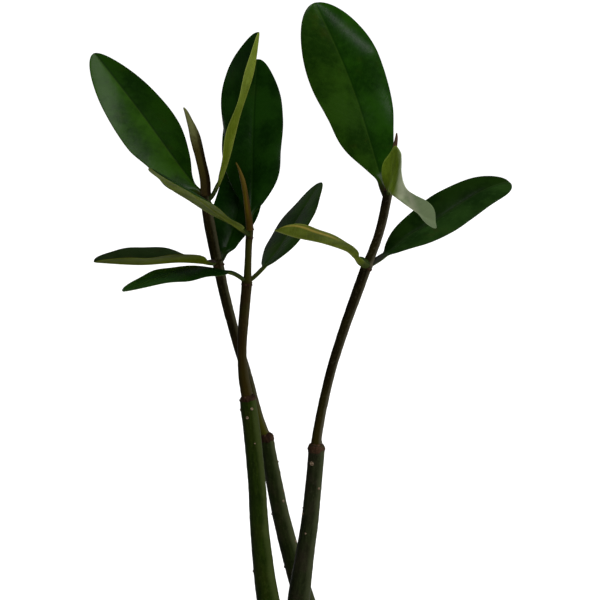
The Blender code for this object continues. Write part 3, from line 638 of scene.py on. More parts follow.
def buildLeafTree():
    tree, given = newTree("leafSkin", {
        "Rows": "Int", "Columns": "Int", "Thickness": "Float", "Stalk Radius": "Float",
        "Rib Depth": "Float", "Rib Width": "Float", "Groove Depth": "Float", "Groove Width": "Float",
        "Fold Start": "Float", "Curl": "Float", "Wave Height": "Float", "Waves": "Float",
        "Wave Start": "Float", "Wave Shift": "Float", "Upper Finish": "Material", "Lower Finish": "Material",
    })
    # a grid with a row for each point of the spine, where each row goes once round the leaf
    perRow = plus(tree, given["Columns"], 1.0)
    skin = output(tree, "GeometryNodeMeshGrid", {
        "Size X": 1.0, "Size Y": 1.0, "Vertices X": given["Rows"], "Vertices Y": perRow,
    })
    index = output(tree, "GeometryNodeInputIndex")
    row = calc(tree, "FLOOR", calc(tree, "DIVIDE", plus(tree, index, 0.5), perRow))
    column = minus(tree, index, times(tree, row, perRow))
    turn = times(tree, calc(tree, "DIVIDE", column, given["Columns"]), math.tau)

    def fromSpine(value, kind="FLOAT"):
        inputs = {"Geometry": given["Geometry"], "Value": value, "Index": row}
        return output(tree, "GeometryNodeSampleIndex", inputs, data_type=kind, domain="POINT")

    def sampled(name, kind="FLOAT"):
        return fromSpine(namedValue(tree, name, kind), kind)

    centre = fromSpine(output(tree, "GeometryNodeInputPosition"), "FLOAT_VECTOR")
    facing, across = sampled("facing", "FLOAT_VECTOR"), sampled("across", "FLOAT_VECTOR")
    close, share, stalk = sampled("close"), sampled("share"), sampled("stalk")
    flat = times(tree, calc(tree, "COSINE", turn), -1.0)
    height = calc(tree, "SINE", turn)
    # the span runs from -1 to 1 across the blade, with points closer together at rib and rim
    span = times(tree, flat, timesPlus(tree, times(tree, flat, flat), 0.5, 0.5))
    outward = calc(tree, "ABSOLUTE", span)
    isRight = calc(tree, "GREATER_THAN", span, 0.0)
    side = timesPlus(tree, isRight, 2.0, -1.0)
    reach = times(tree, outward, between(tree, sampled("reachLeft"), sampled("reachRight"), isRight))
    # the fold starts beside the midrib, and the curl grows towards the rim
    fold = between(tree, sampled("foldLeft"), sampled("foldRight"), isRight)
    fold = times(tree, fold, minus(tree, 1.0, hump(tree, reach, given["Fold Start"])))
    bend = plus(tree, fold, times(tree, given["Curl"], outward, 0.5))
    slope = plus(tree, fold, times(tree, given["Curl"], outward))
    # half the thickness, the rib below, the groove above and the wave along the rim
    rounded = calc(tree, "POWER", calc(tree, "ABSOLUTE", height), 0.4)
    half = times(tree, calc(tree, "SIGN", height), rounded, given["Thickness"], 0.5, close)
    isLower = calc(tree, "LESS_THAN", height, 0.0)
    isUpper = minus(tree, 1.0, isLower)
    fading = minus(tree, 1.0, share)
    rib = times(tree, isLower, given["Rib Depth"], fading, close, hump(tree, reach, given["Rib Width"]))
    groove = hump(tree, reach, given["Groove Width"])
    groove = times(tree, isUpper, given["Groove Depth"], fading, close, groove)
    swing = plus(tree, times(tree, share, given["Waves"], math.tau), given["Wave Start"])
    swing = calc(tree, "SINE", plus(tree, swing, times(tree, side, given["Wave Shift"])))
    swell = calc(tree, "SINE", times(tree, share, math.pi))
    wave = times(tree, swing, given["Wave Height"], times(tree, outward, outward), swell)
    sideways = minus(
        tree, times(tree, side, reach, calc(tree, "COSINE", bend)),
        times(tree, side, half, calc(tree, "SINE", slope)),
    )
    upward = plus(
        tree, times(tree, reach, calc(tree, "SINE", bend)),
        times(tree, half, calc(tree, "COSINE", slope)), wave,
    )
    upward = minus(tree, upward, plus(tree, rib, groove))
    # the stalk is round
    sideways = between(tree, sideways, times(tree, flat, given["Stalk Radius"], close), stalk)
    upward = between(tree, upward, times(tree, height, given["Stalk Radius"], close), stalk)
    offset = calcVector(
        tree, "ADD", scaled(tree, across, times(tree, sideways, mm)),
        scaled(tree, facing, times(tree, upward, mm)),
    )
    place = joined(tree, times(tree, side, reach), sampled("along"), height)
    skin = storeValue(tree, skin, "leafPlace", place, "FLOAT_VECTOR")
    skin = storeValue(tree, skin, "leafSpan", span)
    skin = moved(tree, skin, Position=calcVector(tree, "ADD", centre, offset))
    # merging closes the seam along the rim, the stalk's foot and the tip
    skin = output(tree, "GeometryNodeMergeByDistance", {"Geometry": skin, "Distance": 1e-6})
    skin = dressed(tree, skin, given["Lower Finish"])
    above = parted(tree, namedValue(tree, "leafPlace", "FLOAT_VECTOR"))[2]
    isAbove = calc(tree, "GREATER_THAN", above, 0.0)
    upper = {"Geometry": skin, "Selection": isAbove, "Material": given["Upper Finish"]}
    return endTree(tree, output(tree, "GeometryNodeSetMaterial", upper))


def makeLeaves(leafTree, finishes):
    order = 0
    for plant, seedling in seedlings.items():
        for place, leaf in seedling["leaves"].items():
            order += 1
            spine = leafSpine(leaf, seedling[place.split("_")[0] + "Node"])
            upper, lower = finishes[leaf.get("finish", "deep")]
            piece = growPiece(f"{plant}Leaf_{place}", spine, leafTree, {
                **leafShape, **leaf, "curl": math.radians(leaf.get("curl", leafShape["curl"])),
                "waveStart": order * leafShape["waveStep"], "upperFinish": upper, "lowerFinish": lower,
            })
            outsideOut(piece)
            standFor(piece, "leaf_green", f"{plant}_leaf_{place}")
    print("leaves:", order)


# Round pieces: a curve with its own radii, skinned and roughened

# each bark has a pale colour that paints light on the side facing the lamps, and is also its pale speckle
barkFinishes = {
    "leftHypocotyl": {
        "dark": (0.005, 0.008, 0.0018), "light": (0.01, 0.0155, 0.0035), "patch": (0.016, 0.014, 0.007),
        "patchiness": 0.7, "sunny": (0.03, 0.035, 0.015),
    },
    "middleHypocotyl": {
        "dark": (0.0035, 0.0075, 0.0006), "light": (0.0078, 0.0152, 0.0011), "patch": (0.011, 0.014, 0.0015),
        "patchiness": 0.4, "sunny": (0.024, 0.033, 0.008),
    },
    "rightHypocotyl": {
        "dark": (0.0035, 0.0052, 0.0016), "light": (0.0105, 0.0138, 0.0046), "patch": (0.012, 0.01, 0.006),
        "patchiness": 0.8, "sunny": (0.026, 0.031, 0.014),
    },
    "leftStem": {
        "dark": (0.003, 0.0026, 0.0006), "light": (0.0075, 0.006, 0.001), "patch": (0.011, 0.006, 0.002),
        "patchiness": 0.6, "sunny": (0.034, 0.032, 0.017), "root": (0.036, 0.037, 0.003),
    },
    "middleStem": {
        "dark": (0.006, 0.0035, 0.001), "light": (0.014, 0.009, 0.0025), "patch": (0.01, 0.011, 0.001),
        "patchiness": 0.6, "sunny": (0.024, 0.02, 0.008), "root": (0.015, 0.0105, 0.0013),
        "top": (0.017, 0.02, 0.002), "topStart": 56, "topEnd": 62,
    },
    "rightStem": {
        "dark": (0.003, 0.0022, 0.0006), "light": (0.01, 0.0075, 0.0022), "patch": (0.01, 0.009, 0.002),
        "patchiness": 0.6, "sunny": (0.042, 0.038, 0.024), "root": (0.013, 0.01, 0.001),
    },
    "corkyCollar": {
        "dark": (0.005, 0.0025, 0.0015), "light": (0.018, 0.0095, 0.005), "patch": (0.085, 0.045, 0.024),
        "patchiness": 0.2, "sunny": (0.028, 0.016, 0.009), "fleckSize": 0.32, "relief": 1.2,
    },
}
barkGrain = {
    "streaks": 3.2, "clouds": 75, "speckle": 1000, "flecks": 420.0, "fleckSize": 0.16,
    "specular": 0.008, "relief": 0.4,
}
sheathFinishes = {
    "leftSheath": {
        "foot": (0.016, 0.011, 0.003), "middle": (0.026, 0.021, 0.003), "tip": (0.075, 0.08, 0.028),
        "flap": (0.06, 0.06, 0.02), "edge": (0.007, 0.004, 0.0015),
    },
    "middleSheath": {
        "foot": (0.02, 0.012, 0.001), "middle": (0.045, 0.033, 0.002), "tip": (0.05, 0.035, 0.005),
        "flap": (0.06, 0.04, 0.005), "edge": (0.026, 0.014, 0.003),
    },
    "rightSheath": {
        "foot": (0.02, 0.01, 0.005), "middle": (0.025, 0.013, 0.007), "tip": (0.04, 0.02, 0.013),
        "flap": (0.04, 0.022, 0.012), "edge": (0.02, 0.009, 0.006),
    },
}
sheathSeam = {"seamStart": 0.8, "seamTwist": 0.004, "colour": (0.006, 0.004, 0.002)}  # turns, turns per mm
stemShape = {  # sizes of bumps and ridges are how many would stand on a metre
    "stepLength": 0.6 * mm, "sides": 40, "samples": 8, "thinnest": 0.05,
    "bumpSize": 260.0, "ridgeSize": 900.0, "ridgeStretch": 0.12,
}
roundPieces = {  # bump, ridge and seam are heights in mm, and sunk is how far the foot is pushed in
    "hypocotyl": {"slot": "green_bark", "bump": 0.22, "ridge": 0.05, "seam": 0.0, "sunk": 0},
    "stem": {"slot": "brown_bark", "bump": 0.18, "ridge": 0.05, "seam": 0.0, "sunk": 1.2},
    "bud": {"slot": "bud_sheath", "bump": 0.08, "ridge": 0.08, "seam": 0.22, "sunk": 1.2},
}
scarShape = {  # profiles are mm up the stem, and mm wider than it
    "slot": "brown_bark", "bump": 0.9, "bumpSize": 520.0, "ridge": 0.05, "seam": 0.0,
    "collar": [(-5.2, -0.4), (-4.2, 0.1), (-2.8, 0.4), (-1.7, 0.6), (-0.6, 0.3), (0.3, -0.4), (1.1, -1.2)],
    "ring": [(-1, -0.5), (-0.5, -0.04), (0, 0.1), (0.5, -0.04), (1, -0.5)], "ringDrop": 1.6, "ringSpan": 8,
}


def pastSeam(tree, turns, along, start, twist):  # turns round from the seam, which winds up the sheath
    seam = timesPlus(tree, along, twist, start)
    return calc(tree, "FRACT", plus(tree, minus(tree, turns, seam), 2.0))


def barkMaterial(name):
    finish = {**barkGrain, **barkFinishes[name]}
    material, tree = newMaterial(name)
    around, along, lit = attributeParts(tree, "stemPlace")  # turns round, mm along, how much painted light its side gets
    turns = times(tree, around, math.tau)
    ring = joined(tree, calc(tree, "SINE", turns), calc(tree, "COSINE", turns), times(tree, along, 0.04))
    spot = objectPlace(tree)
    streaks = noiseOn(tree, ring, finish["streaks"], 5, 0.6)
    broad = noiseOn(tree, spot, finish["clouds"], 4, 0.6)
    fine = noiseOn(tree, spot, finish["speckle"], 3, 0.6)
    colour = coated(tree, finish["dark"], finish["light"], streaks, 0.32, 0.68)
    colour = coated(tree, colour, finish["patch"], broad, 0.45, 0.65, 0, finish["patchiness"])
    colour = coated(tree, colour, finish["sunny"], fine, 0.5, 0.75, 0, 0.38)
    colour = coated(tree, colour, finish["dark"], fine, 0.25, 0.45, 0.5, 0)
    if "root" in finish:  # the first growth is greener
        reached = timesPlus(tree, broad, 20.0, along)
        colour = coated(tree, colour, finish["root"], reached, 15.0, 55.0, 0.75, 0.0)
    if "top" in finish:  # and so is the newest
        colour = coated(tree, colour, finish["top"], along, finish["topStart"], finish["topEnd"], 0, 0.7)
    flecks = cellsOn(tree, spot, finish["flecks"])
    fleckSize = finish["fleckSize"]
    colour = coated(tree, colour, finish["patch"], flecks, fleckSize * 0.4, fleckSize, 0.45, 0.0)
    # painted light and shade: the side facing the lamps gets the pale colour and the far side is darkened
    sunny = timesPlus(tree, broad, 0.5, minus(tree, lit, 0.25))
    colour = coated(tree, colour, finish["sunny"], sunny, 0.5, 1.0, 0, 0.9)
    colour = scaled(tree, colour, spread(tree, sunny, -0.9, 0.3, 0.45, 1.0))
    rough = timesPlus(tree, fine, 0.25, 0.38)
    height = plus(tree, times(tree, streaks, 0.8), times(tree, fine, 0.5))
    return finished(material, colour, finish["specular"], rough, height, finish["relief"], 0.0005)


def sheathMaterial(name, length):
    finish = sheathFinishes[name]
    material, tree = newMaterial(name)
    around, along, lit = attributeParts(tree, "stemPlace")
    grain = noiseOn(tree, objectPlace(tree), 600, 4, 0.6)
    share = calc(tree, "DIVIDE", along, length)
    wobble = plus(tree, share, timesPlus(tree, grain, 0.3, -0.15))
    colour = coated(tree, finish["foot"], finish["middle"], wobble, 0.0, 0.45)
    colour = coated(tree, colour, finish["tip"], wobble, 0.5, 0.85)
    past = pastSeam(tree, around, along, sheathSeam["seamStart"], sheathSeam["seamTwist"])
    flap = times(tree, spread(tree, past, 0.55, 1.0), spread(tree, share, 0.15, 0.6))
    colour = mixed(tree, flap, colour, finish["flap"])
    # painted shade: the dark edge colour is laid along the lit side below the middle, and along the side
    # turned from the light
    rim = times(tree, spread(tree, lit, 0.45, 0.8), spread(tree, wobble, 0.45, 0.9, 0.9, 0.1))
    colour = mixed(tree, rim, colour, finish["edge"])
    colour = coated(tree, colour, finish["edge"], lit, -0.85, -0.5, 0.7, 0.0)
    colour = coated(tree, colour, sheathSeam["colour"], past, 0.0, 0.06, 0.7, 0.0)
    return finished(material, colour, 0.02, timesPlus(tree, grain, 0.2, 0.36), grain, 0.3)


def radiusCurve(lines):
    curve = bpy.data.curves.new("stemPath", "CURVE")
    curve.dimensions = "3D"
    for points in lines:
        count = (len(points) - 1) * stemShape["samples"]
        spline = curve.splines.new("POLY")
        spline.points.add(count)
        for point, (x, y, z, radius) in zip(spline.points, smoothPath([Vector(p) for p in points], count)):
            point.co = (x * mm, y * mm, z * mm, 1)
            point.radius = max(radius, stemShape["thinnest"])
    return curve


def buildStemTree():
    tree, given = newTree("stemSkin", {
        "Step Length": "Float", "Sides": "Int", "Bump": "Float", "Bump Size": "Float",
        "Ridge": "Float", "Ridge Size": "Float", "Ridge Stretch": "Float",
        "Seam": "Float", "Seam Start": "Float", "Seam Twist": "Float", "Finish": "Material",
    })
    path = output(tree, "GeometryNodeResampleCurve", {
        "Curve": given["Geometry"], "Length": given["Step Length"],
    }, mode="LENGTH")
    along = addNode(tree, "GeometryNodeSplineParameter").outputs["Length"]
    path = storeValue(tree, path, "alongStem", along)
    ring = output(tree, "GeometryNodeCurvePrimitiveCircle", {"Resolution": given["Sides"], "Radius": mm})
    around = addNode(tree, "GeometryNodeSplineParameter").outputs["Factor"]
    ring = storeValue(tree, ring, "roundStem", around)
    radius = output(tree, "GeometryNodeInputRadius")
    skin = output(tree, "GeometryNodeCurveToMesh", {
        "Curve": path, "Profile Curve": ring, "Scale": radius, "Fill Caps": True,
    })
    spot = output(tree, "GeometryNodeInputPosition")
    normal = output(tree, "GeometryNodeInputNormal")
    turns = namedValue(tree, "roundStem")
    mmAlong = times(tree, namedValue(tree, "alongStem"), 1 / mm)
    lumps = noiseOn(tree, spot, given["Bump Size"], 3)
    stretch = joined(tree, 1.0, 1.0, given["Ridge Stretch"])
    ridges = noiseOn(tree, calcVector(tree, "MULTIPLY", spot, stretch), given["Ridge Size"], 2)
    rough = plus(
        tree, times(tree, minus(tree, lumps, 0.5), given["Bump"]),
        times(tree, minus(tree, ridges, 0.5), given["Ridge"]),
    )
    past = pastSeam(tree, turns, mmAlong, given["Seam Start"], given["Seam Twist"])
    seam = times(tree, calc(tree, "POWER", past, 5.0), given["Seam"])  # rises, then drops at the seam
    rise = plus(tree, times(tree, rough, 2.0), seam)
    facing = parted(tree, normal)
    sunny = minus(tree, times(tree, facing[0], 0.95), times(tree, facing[1], 0.3))  # how much painted light a side gets, lit from the right
    skin = storeValue(tree, skin, "stemPlace", joined(tree, turns, mmAlong, sunny), "FLOAT_VECTOR")
    skin = moved(tree, skin, Offset=scaled(tree, normal, times(tree, rise, mm)))
    return endTree(tree, dressed(tree, skin, given["Finish"]))


def growRound(name, lines, stemTree, finish, look, *nodes):
    values = {**stemShape, **sheathSeam, **look, "finish": finish}
    piece = growPiece(name, radiusCurve(lines), stemTree, values)
    outsideOut(piece)
    standFor(piece, look["slot"], *nodes)


def scarLines(seedling):
    # the corky collar where the seed sat, then a ring round the stem below each pair of leaves
    top, stem = seedling["hypocotyl"][-1], seedling["stem"]
    tall, lift, flare = seedling["collar"]
    up = heading(stem[0], stem[1])
    centre = Vector(top[:3]) + up * lift
    lines = [[
        (*(centre + up * (step * (tall if step < 0 else 1))), top[3] + more + flare)
        for step, more in scarShape["collar"]
    ]]
    for node in (seedling["lowerNode"], seedling["upperNode"]):
        below, above = (
            min(stem, key=lambda point: abs(point[2] - node[2] - shift))
            for shift in (-scarShape["ringSpan"], scarShape["ringSpan"])
        )
        up = heading(below, above)
        spot = Vector(node[:3]) - up * scarShape["ringDrop"]
        lines.append([(*(spot + up * step), node[3] + more) for step, more in scarShape["ring"]])
    return lines


def makeRoundPieces(stemTree):
    collarFinish = barkMaterial("corkyCollar")
    for plant, seedling in seedlings.items():
        bud = seedling["bud"]
        finishes = {
            "hypocotyl": barkMaterial(f"{plant}Hypocotyl"),
            "stem": barkMaterial(f"{plant}Stem"),
            "bud": sheathMaterial(f"{plant}Sheath", bud[-1][2] - bud[0][2]),
        }
        for part, look in roundPieces.items():
            points = list(seedling[part])
            if look["sunk"]:
                foot = Vector(points[0])
                points.insert(0, foot - (Vector(points[1]) - foot).normalized() * look["sunk"])
            growRound(f"{plant}_{part}Skin", [points], stemTree, finishes[part], look, f"{plant}_{part}")
        growRound(f"{plant}Scars", scarLines(seedling), stemTree, collarFinish, scarShape)
    print("hypocotyls, stems, scars and buds")


# Lenticels: low corky domes on the hypocotyls

lenticelShape = {
    "width": 1.5 * mm, "rise": 0.5 * mm, "sunk": 0.1, "pathSteps": 200,
    "dark": (0.045, 0.028, 0.016), "pale": (0.16, 0.12, 0.08),
    "seed": 4, "farSide": 9, "heights": (115, 215), "degrees": (10, 170), "sizes": (0.7, 1.3),
}
seenLenticels = {  # height above the table, degrees round from the right, size
    "left": [
        (209.3, 355, 0.9), (194.3, 342, 0.9), (190.2, 315, 1), (166.9, 337, 1),
        (182.6, 183, 0.9), (155.6, 185, 1),
    ],
    "middle": [(240.1, 294, 1), (235.7, 253, 1), (239.4, 185, 0.9), (222.5, 285, 0.5), (158.1, 183, 0.9)],
    "right": [(212.2, 241, 1.5), (199.9, 312, 1), (186.1, 200, 0.9), (176.8, 251, 0.7)],
}


def lenticelMaterial():
    material, tree = newMaterial("corkyLenticels")
    grain = noiseOn(tree, objectPlace(tree), 1500, 3, 0.6)
    colour = coated(tree, lenticelShape["dark"], lenticelShape["pale"], grain, 0.35, 0.65)
    return finished(material, colour, 0.1, timesPlus(tree, grain, 0.2, 0.7), grain, 0.5)


def buildDotTree():
    tree, given = newTree("corkDots", {"Width": "Float", "Rise": "Float", "Finish": "Material"})
    dome = output(tree, "GeometryNodeMeshIcoSphere", {"Radius": 1.0, "Subdivisions": 3})
    spot = output(tree, "GeometryNodeInputPosition")
    rough = timesPlus(tree, noiseOn(tree, spot, 2.2, 3), 0.5, 0.75)
    dome = moved(tree, dome, Position=scaled(tree, spot, rough))
    outward = {"Vector": namedValue(tree, "outward", "FLOAT_VECTOR")}
    turned = output(tree, "FunctionNodeAlignRotationToVector", outward, axis="Z")
    wide = times(tree, namedValue(tree, "size"), given["Width"], 0.5)
    dots = output(tree, "GeometryNodeInstanceOnPoints", {
        "Points": given["Geometry"], "Instance": dome, "Rotation": turned,
        "Scale": joined(tree, wide, wide, given["Rise"]),
    })
    return endTree(tree, dressed(tree, dots, given["Finish"]))


def onHypocotyl(points, height):
    path = smoothPath([Vector(p) for p in points], lenticelShape["pathSteps"])
    for low, high in zip(path, path[1:]):
        if low.z <= height <= high.z:
            return low, heading(low, high)


def makeLenticels(dotTree):
    finish = lenticelMaterial()
    chance = random.Random(lenticelShape["seed"])
    for plant, seedling in seedlings.items():
        dots = list(seenLenticels[plant])
        for i in range(lenticelShape["farSide"]):
            dots.append([chance.uniform(*lenticelShape[label]) for label in ("heights", "degrees", "sizes")])
        places, outwards, sizes = [], [], []
        for height, degrees, size in dots:
            centre, along = onHypocotyl(seedling["hypocotyl"], height)
            outward = Vector((math.cos(math.radians(degrees)), math.sin(math.radians(degrees)), 0))
            outward = (outward - along * outward.dot(along)).normalized()
            places.append(Vector(centre[:3]) + outward * (centre[3] - lenticelShape["sunk"]))
            outwards.append(outward)
            sizes.append(size)
        spots = spineMesh("dots", places, {"outward": outwards, "size": sizes})
        piece = growPiece(f"{plant}Lenticels", spots, dotTree, {**lenticelShape, "finish": finish})
        standFor(piece, "brown_bark")
    print("lenticels")


# Pot: a turned outline with rounded edges, and four drain holes

clayFinish = {
    "fired": (0.39, 0.15, 0.07), "pale": (0.5, 0.24, 0.135), "dark": (0.24, 0.085, 0.04),
    "bloom": (0.58, 0.47, 0.39), "bloomTop": 0.02,
}
potShape = {
    "height": 108, "topRadius": 65, "baseRadius": 45, "wall": 5.5, "floor": 8,
    "band": 25, "bandDepth": 3.5, "bandTaper": 0.8, "underBand": 1.2,
    "lip": 2.2, "corner": 3, "edge": 1.3, "baseFlare": 0.3, "rowGap": 2.5, "steps": 180,
    "holes": 4, "holeRadius": 4, "holeRing": 24, "holeSides": 48,
    "uneven": 0.25, "unevenWidth": 30, "unevenHeight": 18,
}


def clayMaterial():
    material, tree = newMaterial("firedClay")
    spot = objectPlace(tree)
    cloud = noiseOn(tree, spot, 26, 5, 0.6)
    grain = noiseOn(tree, spot, 900, 4, 0.7)
    stretched = output(tree, "ShaderNodeMapping", {"Vector": spot, "Scale": (6, 6, 420)})
    turning = noiseOn(tree, stretched, 1.0, 3, 0.5)  # fine rings, as from a wheel
    colour = coated(tree, clayFinish["fired"], clayFinish["pale"], cloud, 0.35, 0.65)
    colour = coated(tree, colour, clayFinish["dark"], grain, 0.55, 0.8, 0, 0.6)
    low = spread(tree, parted(tree, spot)[2], 0.0, clayFinish["bloomTop"], 1.0, 0.0)
    bloom = times(tree, spread(tree, cloud, 0.42, 0.7), timesPlus(tree, low, 0.6, 0.14))
    colour = mixed(tree, bloom, colour, clayFinish["bloom"])
    relief = plus(tree, turning, times(tree, grain, 0.6))
    return finished(material, colour, 0.25, timesPlus(tree, grain, 0.15, 0.75), relief, 0.45, 0.0005)


def potInside(height):
    slope = (potShape["topRadius"] - potShape["bandDepth"] - potShape["baseRadius"]) / potShape["height"]
    return potShape["baseRadius"] + slope * height - potShape["wall"]


def arc(x, z, radius, start, end, count=7):
    turns = [math.radians(start + (end - start) * i / (count - 1)) for i in range(count)]
    return [(x + radius * math.cos(turn), z + radius * math.sin(turn)) for turn in turns]


def divided(points, gap):
    spaced = [points[0]]
    for (x, z), (nextX, nextZ) in zip(points, points[1:]):
        parts = max(1, int(math.dist((x, z), (nextX, nextZ)) / gap))
        spaced += [(x + (nextX - x) * i / parts, z + (nextZ - z) * i / parts) for i in range(1, parts + 1)]
    return spaced


def potOutline():
    top, base, edge = potShape["topRadius"], potShape["baseRadius"], potShape["edge"]
    tall, lip, corner, floor = (potShape[label] for label in ("height", "lip", "corner", "floor"))
    bandFoot, under = tall - potShape["band"], potShape["underBand"]
    return [
        (0, floor),
        *arc(potInside(floor) - corner, floor + corner, corner, -90, 0),
        *arc(potInside(tall) + lip, tall - lip, lip, 180, 90),
        *arc(top - lip, tall - lip, lip, 90, 0),
        *arc(top - potShape["bandTaper"] - edge, bandFoot + edge, edge, 0, -90),
        *arc(potInside(bandFoot) + potShape["wall"] + under, bandFoot - under, under, 90, 180),
        *arc(base - edge + potShape["baseFlare"], edge, edge, 0, -90),
        (0, 0),
    ]


def makePot():
    outline = divided(potOutline(), potShape["rowGap"])
    mesh = bpy.data.meshes.new("potOutline")
    mesh.from_pydata(
        [(r * mm, 0, z * mm) for r, z in outline], [(i, i + 1) for i in range(len(outline) - 1)], []
    )
    pot = placed("clayPot", mesh)
    turn = pot.modifiers.new("turn", "SCREW")
    turn.steps = turn.render_steps = potShape["steps"]
    turn.use_merge_vertices = True
    turn.merge_threshold = 0.00005
    cutters = []
    for i in range(potShape["holes"]):
        angle = math.tau * (i + 0.5) / potShape["holes"]
        x, y = potShape["holeRing"] * math.cos(angle) * mm, potShape["holeRing"] * math.sin(angle) * mm
        bpy.ops.mesh.primitive_cylinder_add(
            vertices=potShape["holeSides"], radius=potShape["holeRadius"] * mm, depth=0.03, location=(x, y, 0)
        )
        cutters.append(bpy.context.object)
        drill = pot.modifiers.new(f"drain {i + 1}", "BOOLEAN")
        drill.operation = "DIFFERENCE"
        drill.object = cutters[-1]
    pot.data = plainMesh(pot)
    pot.modifiers.clear()
    for cutter in cutters:
        bpy.data.objects.remove(cutter)
    width, height = potShape["unevenWidth"], potShape["unevenHeight"]
    for vertex in pot.data.vertices:  # hand-thrown unevenness
        x, y, z = vertex.co / mm
        swell = noise.noise(Vector((x / width, y / width, z / height)))
        vertex.co += Vector((x, y, 0)).normalized() * (swell * potShape["uneven"] * mm)
    pot.data.shade_smooth()
    pot.data.set_sharp_from_angle(angle=math.radians(45))
    outsideOut(pot)
    pot.data.materials.clear()
    pot.data.materials.append(clayMaterial())
    standFor(pot, "clay", "pot")
    print("pot")


# Soil: a lumpy top that meets the pot's wall, with crumbs and grit scattered over it

soilShape = {
    "top": 97, "lump": 2.4, "lumpSize": 17, "lumpSeed": 3.7,
    "rough": 0.55, "roughSize": 3.2, "roughSeed": 1.2, "hollow": 1.5,
    "rings": 80, "spokes": 200, "gap": 0.3, "foot": 3, "scatterDepth": 5,
}
earthColours = {  # dark and light
    "dampEarth": [(0.012, 0.008, 0.005), (0.05, 0.033, 0.02)],
    "crumbledEarth": [(0.014, 0.009, 0.006), (0.07, 0.045, 0.028)],
    "paleGrit": [(0.12, 0.1, 0.08), (0.3, 0.27, 0.23)],
}
scattered = {  # density is lumps on a square metre
    "soilCrumbs": {
        "density": 420000.0, "smallest": 0.35 * mm, "largest": 1.6 * mm, "flatness": 0.7, "roughness": 0.8,
        "detail": 1, "seed": 7, "earth": "crumbledEarth",
    },
    "soilGrit": {
        "density": 26000.0, "smallest": 0.5 * mm, "largest": 1.3 * mm, "flatness": 0.8, "roughness": 0.6,
        "detail": 1, "seed": 27, "earth": "paleGrit",
    },
}


def earthMaterial(name):
    dark, light = earthColours[name]
    material, tree = newMaterial(name)
    spot = objectPlace(tree)
    lumps = noiseOn(tree, spot, 160, 6, 0.7)
    grain = noiseOn(tree, spot, 1400, 4, 0.7)
    colour = coated(tree, dark, light, lumps, 0.35, 0.7)
    colour = coated(tree, colour, light, grain, 0.55, 0.75, 0, 0.5)
    rough = timesPlus(tree, grain, 0.1, 0.85)
    return finished(material, colour, 0.2, rough, plus(tree, lumps, grain), 0.8, 0.0008)


def soilHeight(x, y):
    size, roughSize = soilShape["lumpSize"], soilShape["roughSize"]
    lump = noise.fractal(Vector((x / size, y / size, soilShape["lumpSeed"])), 0.8, 2.0, 3)
    rough = noise.fractal(Vector((x / roughSize, y / roughSize, soilShape["roughSeed"])), 0.9, 2.0, 4)
    edge = math.hypot(x, y) / potInside(soilShape["top"])
    return (soilShape["top"] + soilShape["lump"] * lump + soilShape["rough"] * rough
            - soilShape["hollow"] * edge ** 6)


def soilRing(shape, radius, height=None):
    ring = []
    for k in range(soilShape["spokes"]):
        turn = math.tau * k / soilShape["spokes"]
        x, y = radius * math.cos(turn), radius * math.sin(turn)
        z = soilHeight(x, y) if height is None else height
        ring.append(shape.verts.new((x * mm, y * mm, z * mm)))
    return ring


def makeSoilBody():
    gap, foot, spokes = soilShape["gap"], soilShape["foot"], soilShape["spokes"]
    wall = potInside(soilShape["top"]) + gap  # the rim is pressed a little into the clay
    below = potShape["floor"] + gap
    shape = bmesh.new()
    rings = [[shape.verts.new((0, 0, soilHeight(0, 0) * mm))]]
    rings += [soilRing(shape, wall * ring / soilShape["rings"]) for ring in range(1, soilShape["rings"] + 1)]
    rings.append(soilRing(shape, potInside(below + foot) - gap, below + foot))
    rings.append(soilRing(shape, potInside(below) - (foot + gap), below))
    rings.append([shape.verts.new((0, 0, below * mm))])
    for inner, outer in zip(rings, rings[1:]):
        for k in range(spokes):
            n = (k + 1) % spokes
            if len(inner) == 1:
                shape.faces.new((inner[0], outer[k], outer[n]))
            elif len(outer) == 1:
                shape.faces.new((inner[k], outer[0], inner[n]))
            else:
                shape.faces.new((inner[k], outer[k], outer[n], inner[n]))
    bmesh.ops.recalc_face_normals(shape, faces=shape.faces)
    mesh = bpy.data.meshes.new("soilBody")
    shape.to_mesh(mesh)
    shape.free()
    mesh.shade_smooth()
    mesh.materials.append(earthMaterial("dampEarth"))
    return placed("soilBed", mesh)


def buildScatterTree():
    tree, given = newTree("scatterCrumbs", {
        "Density": "Float", "Smallest": "Float", "Largest": "Float", "Flatness": "Float",
        "Roughness": "Float", "Detail": "Int", "Lowest": "Float", "Seed": "Int", "Finish": "Material",
    })
    spot = output(tree, "GeometryNodeInputPosition")
    isTop = calc(tree, "GREATER_THAN", parted(tree, spot)[2], given["Lowest"])
    points = output(tree, "GeometryNodeDistributePointsOnFaces", {
        "Mesh": given["Geometry"], "Selection": isTop, "Density": given["Density"], "Seed": given["Seed"],
    })
    crumb = output(tree, "GeometryNodeMeshIcoSphere", {"Radius": 1.0, "Subdivisions": given["Detail"]})
    rough = between(tree, 1.0, noiseOn(tree, spot, 1.6, 3), given["Roughness"])
    crumb = moved(tree, crumb, Position=scaled(tree, spot, rough))
    drawn = addNode(tree, "FunctionNodeRandomValue", {
        2: 0.0, 3: 1.0, "Seed": given["Seed"],
    }, data_type="FLOAT").outputs[1]
    skewed = calc(tree, "POWER", drawn, 2.4)  # more small ones than large ones
    size = between(tree, given["Smallest"], given["Largest"], skewed)
    spin = output(tree, "FunctionNodeRandomValue", {  # tilted a little, and turned any way
        0: (-0.6, -0.6, 0), 1: (0.6, 0.6, math.tau), "Seed": plus(tree, given["Seed"], 1.0),
    }, data_type="FLOAT_VECTOR")
    crumbs = output(tree, "GeometryNodeInstanceOnPoints", {
        "Points": points, "Instance": crumb, "Rotation": spin,
        "Scale": joined(tree, size, times(tree, size, 0.8), times(tree, size, given["Flatness"])),
    })
    return endTree(tree, dressed(tree, crumbs, given["Finish"], smooth=False))


